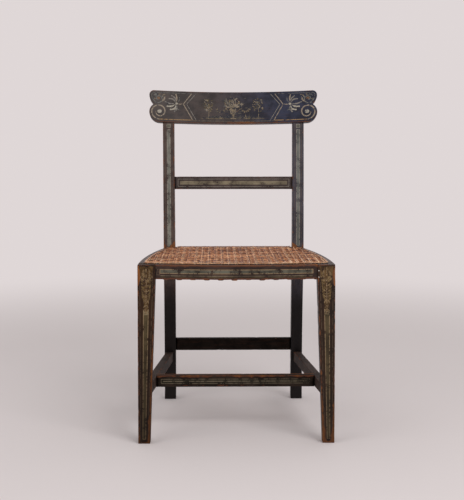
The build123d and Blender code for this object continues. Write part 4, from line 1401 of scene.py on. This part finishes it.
def urn(brush):
    """A footed urn in the middle: a dark shape, and light strokes that follow its swell."""
    share, widths = zip(*URN_SHAPE)
    path = straight((0, GROUND_LINE), (0, URN_TOP), 0.0011)
    brush.stroke(path, np.interp(np.linspace(0, 1, len(path)), share, widths), "khaki")
    for paint, side in zip(URN_LIGHTS, np.linspace(-0.42, 0.42, len(URN_LIGHTS))):
        rise = np.linspace(0.36, 0.84, 6)
        swell = np.interp(rise, share, widths) * side
        touches = np.stack([swell, GROUND_LINE + (URN_TOP - GROUND_LINE) * rise], -1)
        brush.leaf(touches, 0.0036, paint, 0.6)
    for height, half, paint in URN_RINGS:
        z = GROUND_LINE + (URN_TOP - GROUND_LINE) * height
        brush.line([(-half, z), (half, z)], 0.0016, paint)
    for hand in (-1, 1):
        handle = [(0.0100, 0.0440), (0.0170, 0.0460), (0.0180, 0.0400), (0.0140, 0.0365)]
        brush.stroke(smooth(*[(hand * x, z) for x, z in handle]), 0.0014, "khaki")


def scumble(brush, random):
    """Thin level touches behind the urn, left where an earlier coat was wiped."""
    for _ in range(46):
        x, z = random.normal(0, 0.026), random.uniform(GROUND_LINE + 0.003, 0.074)
        reach = random.uniform(0.004, 0.009)
        brush.leaf([(x - reach, z), (x, z + random.uniform(-0.001, 0.001)), (x + reach, z)],
                   random.uniform(0.0024, 0.0040), "haze", 0.5)


def bouquet(brush, random):
    """Leaves and small flowers that stand out of the urn on all sides."""
    for number in range(48):
        turn = random.uniform(-1.5, 1.5)
        length = random.uniform(0.012, 0.031) * (0.78 + 0.22 * math.cos(turn))
        tip = np.array((math.sin(turn), math.cos(turn))) * length
        root = np.array((tip[0] * 0.18, URN_TOP - 0.001))
        side = np.array((-tip[1], tip[0])) * random.uniform(-0.22, 0.22)
        paint = ("olive", "khaki", "grey", "tan", "khaki", "tan")[number % 6]
        path = [root, root + tip * 0.5 + side, root + tip]
        brush.leaf(path, random.uniform(0.0028, 0.0044), paint, 0.62)
    for number in range(13):
        turn, length = random.uniform(-1.3, 1.3), random.uniform(0.007, 0.023)
        centre = (math.sin(turn) * length, URN_TOP + math.cos(turn) * length)
        brush.dot(centre, random.uniform(0.0012, 0.0021), ("tan", "khaki", "sienna", "pale")[number % 4])


# %% Swags, trees and grass
TREE_TOUCHES = ("olive", "grey", "olive", "khaki", "olive", "khaki", "olive", "tan")


def leaves(brush, root, tips, width, paints):
    """Leaves that fan out from one root."""
    root = np.array(root)
    for number, tip in enumerate(tips):
        tip = np.array(tip)
        side = np.array((-tip[1], tip[0])) * (0.14 if tip[0] < 0 else -0.14)
        path = [root, root + tip * 0.5 + side, root + tip]
        brush.leaf(path, width, paints[number % len(paints)], 0.6)


def husks(brush, path, size, paint):
    """Bell flowers strung along a path, each of three petals."""
    for here, after in zip(path, path[1:]):
        run = (after - here) / np.linalg.norm(after - here)
        side = np.array((-run[1], run[0]))
        for turn in (-0.55, 0.0, 0.55):
            tip = here + (run * math.cos(turn) + side * math.sin(turn)) * size
            middle = (here + tip) / 2 + side * turn * size * 0.16
            brush.leaf([here, middle, tip], size * 0.34, paint, 0.55)


def tree(brush, foot, height, random):
    """A little tree: a bent trunk, and touches of the brush for its crown."""
    x, z = foot
    brush.stroke(smooth((x, z), (x + 0.0015, z + height * 0.3), (x - 0.001, z + height * 0.62)),
                 np.linspace(0.0028, 0.0012, 29), "khaki")
    for number in range(72):
        turn, reach = random.uniform(0, 2 * math.pi), random.uniform(0, 1) ** 0.6
        beside = reach * CROWN_REACH * math.cos(turn)
        above = height * (0.64 + 0.34 * reach * math.sin(turn))
        centre = np.array((x + beside, z + above))
        slant = np.array((random.uniform(0.0016, 0.0030), random.uniform(-0.0014, 0.0014)))
        touch = [centre - slant, centre + (0, 0.0006), centre + slant]
        paint = TREE_TOUCHES[number % len(TREE_TOUCHES)]
        brush.leaf(touch, random.uniform(0.0018, 0.0032), paint, 0.5)


def grass(brush, start, end, random):
    """Short upright touches along the ground."""
    for x in np.arange(start, end, 0.0042):
        tip = (x + random.uniform(-0.0015, 0.0015), GROUND_LINE + random.uniform(0.002, 0.0055))
        middle = ((x + tip[0]) / 2, tip[1] * 0.5 + GROUND_LINE * 0.5)
        brush.leaf([(x, GROUND_LINE), middle, tip], 0.0010, "olive", 0.4)


# %% Painting the middle panel
SWAG = ((0.0180, 0.0455), (0.0290, 0.0330), (0.0410, 0.0350), (0.0500, 0.0470))
TUFT = ((0.004, 0.015), (-0.006, 0.013), (0.011, 0.009), (-0.012, 0.007))
brush, random = crest_side(1), np.random.default_rng(61)
brush.line([(-0.090, GROUND_LINE), (0.090, GROUND_LINE)], 0.0014, "khaki")
for z, reach in ((0.0150, 0.086), (0.0172, 0.074), (0.0192, 0.060)):
    shade = smooth((-reach, z), (-reach * 0.3, z + 0.0007), (reach * 0.4, z - 0.0006), (reach, z))
    brush.stroke(shade, 0.0020, "haze")
scumble(brush, np.random.default_rng(67))
bouquet(brush, random)
urn(brush)
for hand in (-1, 1):
    swag = smooth(*[(hand * x, z) for x, z in SWAG])
    brush.stroke(swag, 0.0008, "olive")
    husks(brush, swag[2::6], 0.0056, "khaki")
    tree(brush, (hand * 0.0690, GROUND_LINE), 0.060, random)
    tuft = [(hand * x, z) for x, z in TUFT]
    leaves(brush, (hand * 0.0400, GROUND_LINE), tuft, 0.0032, ("olive", "khaki"))
grass(brush, -0.088, 0.088, random)
brush.piece("crest_middle_panel")

# %% [markdown]
# ## Leaves on the front legs
# At the head of each front leg, above its band, a palmette stands on a stem with leaves in
# pairs. Bell flowers hang from its foot towards the band's notched top, smaller and smaller. A
# painter repeats one touch on the way up, and so does the loop: each pair of leaves is the same
# figure as the last, a little wider.

# %% Leaves on the front legs
HEART_HEIGHT = SEAT_TOP - 0.040
STEM_FOOT = PANEL_TOP + 0.030
LEG_PALMETTE = ((0.0140, 0.0035), (0.0145, 0.0135), (0.0115, 0.0235), (0.0062, 0.0305))
HUSK_SIZES = (0.0125, 0.006)  # from the largest down to this


def leg_face(side):
    """Painter for the front face of a front leg. Its u axis starts at the middle of the face."""

    def place(flat, depth):
        middle = np.interp(flat[:, 1], (0, RAIL_UNDER), (LEG_FOOT[0], LEG_TOP[0])) / 2
        x = side * (HALF_FRONT - middle) + side * flat[:, 0]
        return np.stack([x, np.full(len(x), FRONT_Y + depth), flat[:, 1]], -1)

    return Painter(place, LEG_ORNAMENT)


def leg_leaves(brush, random):
    """A stem with leaves in pairs, a palmette above them and bell flowers below."""
    brush.line([(0, STEM_FOOT), (0, SEAT_TOP - 0.006)], 0.0015, "tan")
    for number, z in enumerate(np.arange(STEM_FOOT, HEART_HEIGHT - 0.004, 0.0068)):
        reach = 0.0095 + 0.0045 * (number / 8)
        for hand in (-1, 1):
            rise = 0.008 + random.uniform(-0.002, 0.002)
            for back, paint in ((1.0, "olive"), (0.66, "khaki" if number % 2 else "olive")):
                tip = (hand * reach * back, z + rise * back)
                middle = (hand * reach * back * 0.62, z + rise * back * 0.22)
                brush.leaf([(0, z), middle, tip], 0.0050 * (0.5 + back / 2), paint, 0.58)
    heart = np.array((0.0, HEART_HEIGHT))
    tips = [(hand * x, z) for x, z in LEG_PALMETTE for hand in (-1, 1)] + [(0, 0.0335)]
    leaves(brush, heart, tips, 0.0050, ("olive", "olive", "khaki", "khaki"))
    brush.dot(heart, 0.0030, "khaki")
    (size, smallest), place = HUSK_SIZES, np.array((0.0, STEM_FOOT + 0.002))
    while size > smallest:
        husks(brush, [place, place + (0, -1)], size, "khaki")
        place, size = place + (0, -size), size * 0.80


for side, hand in ((-1, "left"), (1, "right")):
    brush = leg_face(side)
    leg_leaves(brush, np.random.default_rng(71 + side))
    brush.piece(f"{hand}_leg_leaves")

# %% [markdown]
# ## The caned seat
# The seat is woven from strips of rattan bark, pulled wet through a ring of holes in the rails.
# The pattern is the old six-way one. Two strips run front to back in each row of holes, two run
# side to side, and single strips cross them both ways on the diagonal. Where a pair crosses a
# pair, each strip goes over one and under the other, so the pairs lock. A diagonal runs over
# every front-to-back pair and under every side-to-side pair, and the other diagonal does the
# reverse. A flat sheet with cut holes would look right from above, but not from a low angle,
# where strips rise and dip. Here every strip is lofted along its own path, so the weave is real
# and light falls through its eight-sided holes.
# The woven area is bounded by distances from the seat's own edges. One function measures how
# far a point lies inside the ring of holes, and everything on the seat is cut by it.

# %% The area that is caned
PITCH = 0.0165  # from hole to hole
FRONT_HOLES, SIDE_HOLES, REAR_HOLES, POST_HOLES = 0.022, 0.016, 0.014, 0.007  # in from each edge
REAR_EDGE = SEAT_BACK + REAR_RAIL_WIDTH
SEAT_MIDDLE = (0.0, (FRONT_Y + SEAT_BACK) / 2)


def inside_holes(x, y):
    """Distance inside the ring of holes, negative outside it."""
    x, y = np.asarray(x, float), np.asarray(y, float)
    (front_centre, front_radius), (side_centre, side_radius) = FRONT_ARC, SIDE_ARC
    front = front_radius - FRONT_HOLES - np.hypot(x - front_centre[0], y - front_centre[1])
    sides = side_radius - SIDE_HOLES - np.hypot(abs(x) - side_centre[0], y - side_centre[1])
    rear = REAR_EDGE - REAR_HOLES - y
    posts = np.maximum(POST_INNER - POST_HOLES - abs(x), SEAT_BACK - POST_HOLES - y)
    return np.minimum.reduce([front, sides, rear, posts])


print("the middle of the seat lies", round(float(inside_holes(*SEAT_MIDDLE)), 3), "m inside the ring")

# %% [markdown]
# ## Cane
# Rattan bark is hard and glossy, and it darkens with age to a reddish honey colour. Each strip
# came from its own stem, so each has its own tone. Fine lines run along it, and the dirt of two
# centuries lies over them all in patches. One colour for the whole seat would make it look like
# plastic, so the mesh of each strip carries its tone, and the material reads it.

# %% The finish of the cane


def cane(name, dark, middle, light):
    """Split cane: each strip by its own tone, with fibres along it and dirt over them all."""
    recipe = Recipe(name)
    stock, tone = recipe.place("stock"), recipe.number("tone")
    fibres = recipe.noise(recipe.stretched(stock, 0.04), 1500, 3.0)
    blotches = recipe.noise(stock, 55, 3.0)
    dirt = recipe.noise(recipe.add("TexCoord", {}, 3), 26, 4.0)
    shade = recipe.swayed(tone, blotches, 1.1)
    strip = recipe.mix(recipe.step(shade, 0.2, 0.62), dark, middle)
    strip = recipe.mix(recipe.step(shade, 0.55, 0.95), strip, light)
    strip = recipe.mix(recipe.times(recipe.step(fibres, 0.52, 0.72), 0.35), strip, dark)
    strip = recipe.mix(recipe.times(recipe.step(dirt, 0.52, 0.75), 0.35), strip, dark)
    roughness = recipe.sum("MULTIPLY_ADD", blotches, 0.22, 0.26)
    return recipe.done(strip, roughness, recipe.bump(fibres, 0.00006))


CANE = cane("cane", colour(0.118, 0.030, 0.011), colour(0.655, 0.270, 0.113),
            colour(0.980, 0.660, 0.390))
BINDER = cane("binder cane", colour(0.170, 0.060, 0.024), colour(0.520, 0.240, 0.110),
              colour(0.760, 0.480, 0.270))

# %% [markdown]
# ## Weaving
# A strip's section is a flat oval, low at the sides. Its path is a row of places and heights.
# The height swings up and down by the same rule everywhere: over at one crossing, under at the
# next. The seat has well over a thousand crossings, too many to set by hand, and a rule keeps
# them all alike.

# %% One strip of cane
STRAND_WIDTH, STRAND_THICKNESS = 0.0025, 0.0009
STRIP_SECTION = ((-1.0, -0.35), (-0.55, 0.8), (0.0, 1.0), (0.55, 0.8), (1.0, -0.35), (0.0, -1.0))
STRIP_STOCK = (0.31, 0.17)  # from strip to strip, so that each has its own part of the noise


def strip(skin, path, tone, seed, width=STRAND_WIDTH, thickness=STRAND_THICKNESS):
    """One strip of cane along a path of points."""
    path = np.asarray(path, float)
    run = np.gradient(path, axis=0)
    run /= np.linalg.norm(run, axis=1, keepdims=True)
    across = np.cross(run, (0.0, 0.0, 1.0))
    across /= np.linalg.norm(across, axis=1, keepdims=True).clip(1e-6)
    above = np.cross(across, run)
    rings = np.stack([path + across * (u * width / 2) + above * (v * thickness / 2)
                      for u, v in STRIP_SECTION], 1)
    length = np.concatenate([[0], np.cumsum(np.linalg.norm(np.diff(path, axis=0), axis=1))])
    stock = np.zeros(rings.shape)
    stock[..., 0] = np.array([u for u, _ in STRIP_SECTION]) * width / 2 + seed * STRIP_STOCK[0]
    stock[..., 1] = seed * STRIP_STOCK[1]
    stock[..., 2] = length[:, None]
    tone = np.broadcast_to(np.reshape(tone, (-1, 1)), rings.shape[:2])
    skin.loft(rings, stock=stock, tone=tone)


print("a strip of cane is", STRAND_WIDTH, "m wide and", STRAND_THICKNESS, "m thick")

# %% Strips across the seat
WEAVE_HEIGHT = SEAT_TOP + 0.0013
SAG, SAG_REACH = 0.0022, 0.19  # how deep the seat hangs, and how far inside the ring
FURTHEST = 0.6  # longer than any strip, to both sides of its start
DIP = 0.004  # how far a strip goes down into its hole
WANDER = 0.00025  # to the side, since no strip is drawn quite straight
FEWEST = 3  # steps in the shortest strip


def sag(x, y):
    """The seat hangs a little in its middle."""
    return SAG * np.clip(inside_holes(x, y) / SAG_REACH, 0, 1) ** 0.7


def woven(name, lines, swing, step, seed, tones):
    """Strips along straight lines, each (start, direction), cut where the caned area ends."""
    skin, random = Skin(), np.random.default_rng(seed)
    for number, (start, direction) in enumerate(lines):
        reach = step * np.arange(-int(FURTHEST / step), int(FURTHEST / step))
        x, y = (start[axis] + direction[axis] * reach for axis in (0, 1))
        held = inside_holes(x, y) > 0
        changes = np.flatnonzero(np.diff(held.astype(int)))
        for first, last in zip(changes[::2] + 1, changes[1::2]):
            if last - first < FEWEST:
                continue
            span = slice(first, last + 1)
            px, py = x[span], y[span]
            wander = WANDER * np.sin(reach[span] * 31 + number * 2.1)
            px, py = px - direction[1] * wander, py + direction[0] * wander
            height = WEAVE_HEIGHT - sag(px, py) + swing(px, py, number)
            height[[0, -1]] -= DIP
            height[[1, -2]] -= DIP / 20
            strip(skin, np.stack([px, py, height], -1), random.uniform(*tones), number)
    return skin.piece(name, [CANE], "cane", ["cane_panel"], even=False)


print("in its middle the seat hangs", round(float(sag(*SEAT_MIDDLE)), 4), "m")

# %% The four layers of the weave
PAIR_GAP = 0.0016  # from the middle of a pair to each of its strips
PAIR_SWING, DIAGONAL_SWING = 0.0006, 0.0010
STEP = PITCH / 8  # along a strip, from point to point
SLANT = math.sqrt(0.5)


def swing_at_pairs(along, sign):
    """Over one strip of a crossing pair and under the other: a short S at each crossing."""
    offset = (along / PITCH + 0.5) % 1.0 - 0.5
    return sign * PAIR_SWING * np.sin(np.clip(offset * PITCH / (2 * PAIR_GAP), -1, 1) * math.pi)


def swing_over_rows(x, sign):
    """A diagonal's height: over the pairs one way and under those the other way."""
    return sign * DIAGONAL_SWING * np.cos(2 * math.pi * x / PITCH)


def pairs(rows):
    """Both strips of each row, side by side."""
    return [row + side * PAIR_GAP for row in rows for side in (-1, 1)]


rows_x = [row * PITCH for row in range(-13, 14)]
rows_y = [SEAT_BACK + row * PITCH for row in range(-23, 2)]
starts = [(row + 0.5) * PITCH for row in range(-26, 26)]
# Each strip takes a tone at random from its layer's range. The diagonals take darker tones on the whole:
# painted shade, standing in for the dark that shows between the strips.
woven("cane_front_to_back", [((x, SEAT_BACK), (0.0, 1.0)) for x in pairs(rows_x)],
      lambda x, y, number: swing_at_pairs(y - SEAT_BACK, 1 - 2 * (number % 2)),
      step=STEP, seed=41, tones=(-0.30, 1.55))
woven("cane_side_to_side", [((0.0, y), (1.0, 0.0)) for y in pairs(rows_y)],
      lambda x, y, number: swing_at_pairs(x, 2 * (number % 2) - 1),
      step=STEP, seed=42, tones=(0.15, 0.80))
woven("cane_rising_diagonals", [((start, SEAT_BACK), (SLANT, SLANT)) for start in starts],
      lambda x, y, number: swing_over_rows(x, 1), step=STEP / SLANT, seed=43, tones=(0.0, 0.6))
woven("cane_falling_diagonals", [((start, SEAT_BACK), (SLANT, -SLANT)) for start in starts],
      lambda x, y, number: swing_over_rows(x, -1), step=STEP / SLANT, seed=44, tones=(0.0, 0.6))

# %% [markdown]
# ## The binder
# A wider strip covers the ring of holes. It is tied down at every second hole by a fine strip
# that comes up on one side, crosses over it and goes down on the other. The line of the holes
# could be put together from arcs, but its corners by the posts are awkward to cut. It is
# searched for instead, in many directions from the middle of the seat: a stretch with one end
# inside the ring and one outside is halved again and again, until both ends meet on the ring.

# %% The binder and its ties
BINDER_WIDTH, BINDER_THICKNESS = 0.0052, 0.0014
BINDER_HEIGHT = SEAT_TOP + 0.0026
TIE_WIDTH, TIE_THICKNESS = 0.0023, 0.0007
DIRECTIONS, HALVINGS = 1440, 40  # in which, and how often, the search for the ring goes on
OUTSIDE = 0.4  # from the middle of the seat, beyond the ring in every direction


def hole_line(step):
    """Points evenly along the ring of holes."""
    angle = np.linspace(0, 2 * math.pi, DIRECTIONS, endpoint=False)
    outward = np.stack([np.cos(angle), np.sin(angle)], -1)
    near, far = np.zeros((len(angle), 1)), np.full((len(angle), 1), OUTSIDE)
    for _ in range(HALVINGS):
        middle = (near + far) / 2
        held = inside_holes(*(SEAT_MIDDLE + middle * outward).T)[:, None] > 0
        near, far = np.where(held, middle, near), np.where(held, far, middle)
    loop = SEAT_MIDDLE + near * outward
    loop = np.concatenate([loop, loop[:1]])
    length = np.concatenate([[0], np.cumsum(np.linalg.norm(np.diff(loop, axis=0), axis=1))])
    count = round(length[-1] / step)
    even = np.linspace(0, length[-1], count, endpoint=False)
    return np.stack([np.interp(even, length, loop[:, axis]) for axis in (0, 1)], -1)


def softened(loop, rounds):
    """A closed loop with its corners rounded by averaging."""
    for _ in range(rounds):
        loop = (np.roll(loop, 1, 0) + 2 * loop + np.roll(loop, -1, 0)) / 4
    return loop


binder = Skin()
ring = softened(hole_line(0.003), 4)
ring = np.concatenate([ring, ring[:2]])
ring_height = BINDER_HEIGHT + 0.00012 * np.sin(np.arange(len(ring)) * 1.14)
ring_tone = np.interp(ring[:, 1], (FRONT_Y, REAR_EDGE), (0.75, 0.15))  # darker towards the back
strip(binder, np.column_stack([ring, ring_height]), ring_tone, 1, BINDER_WIDTH, BINDER_THICKNESS)
holes = hole_line(PITCH)
for number in range(0, len(holes), 2):
    run = holes[(number + 1) % len(holes)] - holes[number - 1]
    beside = np.array([-run[1], run[0]]) / np.linalg.norm(run)
    turns = np.linspace(-0.1, math.pi + 0.1, 11)
    tie = [(*(holes[number] + beside * math.cos(turn) * (BINDER_WIDTH / 2 + TIE_THICKNESS)),
            BINDER_HEIGHT - BINDER_THICKNESS + 0.0025 * math.sin(turn)) for turn in turns]
    strip(binder, tie, 0.35 + 0.4 * (number % 7) / 6, number, TIE_WIDTH, TIE_THICKNESS)
binder.piece("cane_binder_strip", [BINDER], "cane", ["cane_binder"], even=False)

# %% [markdown]
# ## Under the seat
# Below the rails each strip runs on from its hole to the next one and up again, so a row of
# short stitches follows the holes. They have worked loose, and hang a little below the rail. A
# half ring would stand out like a loop of wire. Each stitch is a short strip that leaves the
# wood steeply and runs nearly level between its ends.
# The wooden pegs that wedge the cane in its holes stay where the joiner's model has them: the
# binder hides them, so they only get a finish.

# %% The stitches
STITCH_DEPTH = 0.0042  # from its ends, inside the rail, to the middle of a tight stitch
STITCH_DROP = (0.0004, 0.0022)  # how much further a loose one hangs
STITCH_WIDTH, STITCH_THICKNESS = 0.0056, 0.0036  # several strips lie side by side in each
LONGEST_STITCH = 1.2 * PITCH
stitches, random = Skin(), np.random.default_rng(51)
for number, start in enumerate(holes):
    end = holes[(number + 1) % len(holes)]
    if number % 2 == 0 or np.linalg.norm(end - start) > LONGEST_STITCH:
        continue
    path = straight(start, end, 0.0014)
    share = 2 * abs(np.linspace(0, 1, len(path)) - 0.5)
    depth = STITCH_DEPTH + random.uniform(*STITCH_DROP)
    height = RAIL_UNDER + 0.003 - depth * (1 - share**6)
    strip(stitches, np.column_stack([path, height]), 0.05 + 0.4 * (number % 5) / 4, number,
          STITCH_WIDTH, STITCH_THICKNESS)
stitches.piece("cane_stitches", [CANE], "cane", even=False)

# %% The pegs


def bare_wood(name, dark, light):
    """Bare wood with its grain upright."""
    recipe = Recipe(name)
    where = recipe.add("TexCoord", {}, 3)
    grain = recipe.noise(recipe.stretched(where, 0.08), 700, 4.0)
    wood = recipe.mix(recipe.step(grain, 0.3, 0.7), dark, light)
    return recipe.done(wood, recipe.sum("MULTIPLY_ADD", grain, 0.2, 0.6), recipe.bump(grain, 0.0001))


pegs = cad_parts["cane_pegs"]
pegs.data.materials.clear()
pegs.data.materials.append(bare_wood("peg beech", BEECH_DARK, BEECH_LIGHT))
print("pegs keep their place:", pegs.name)

# %% [markdown]
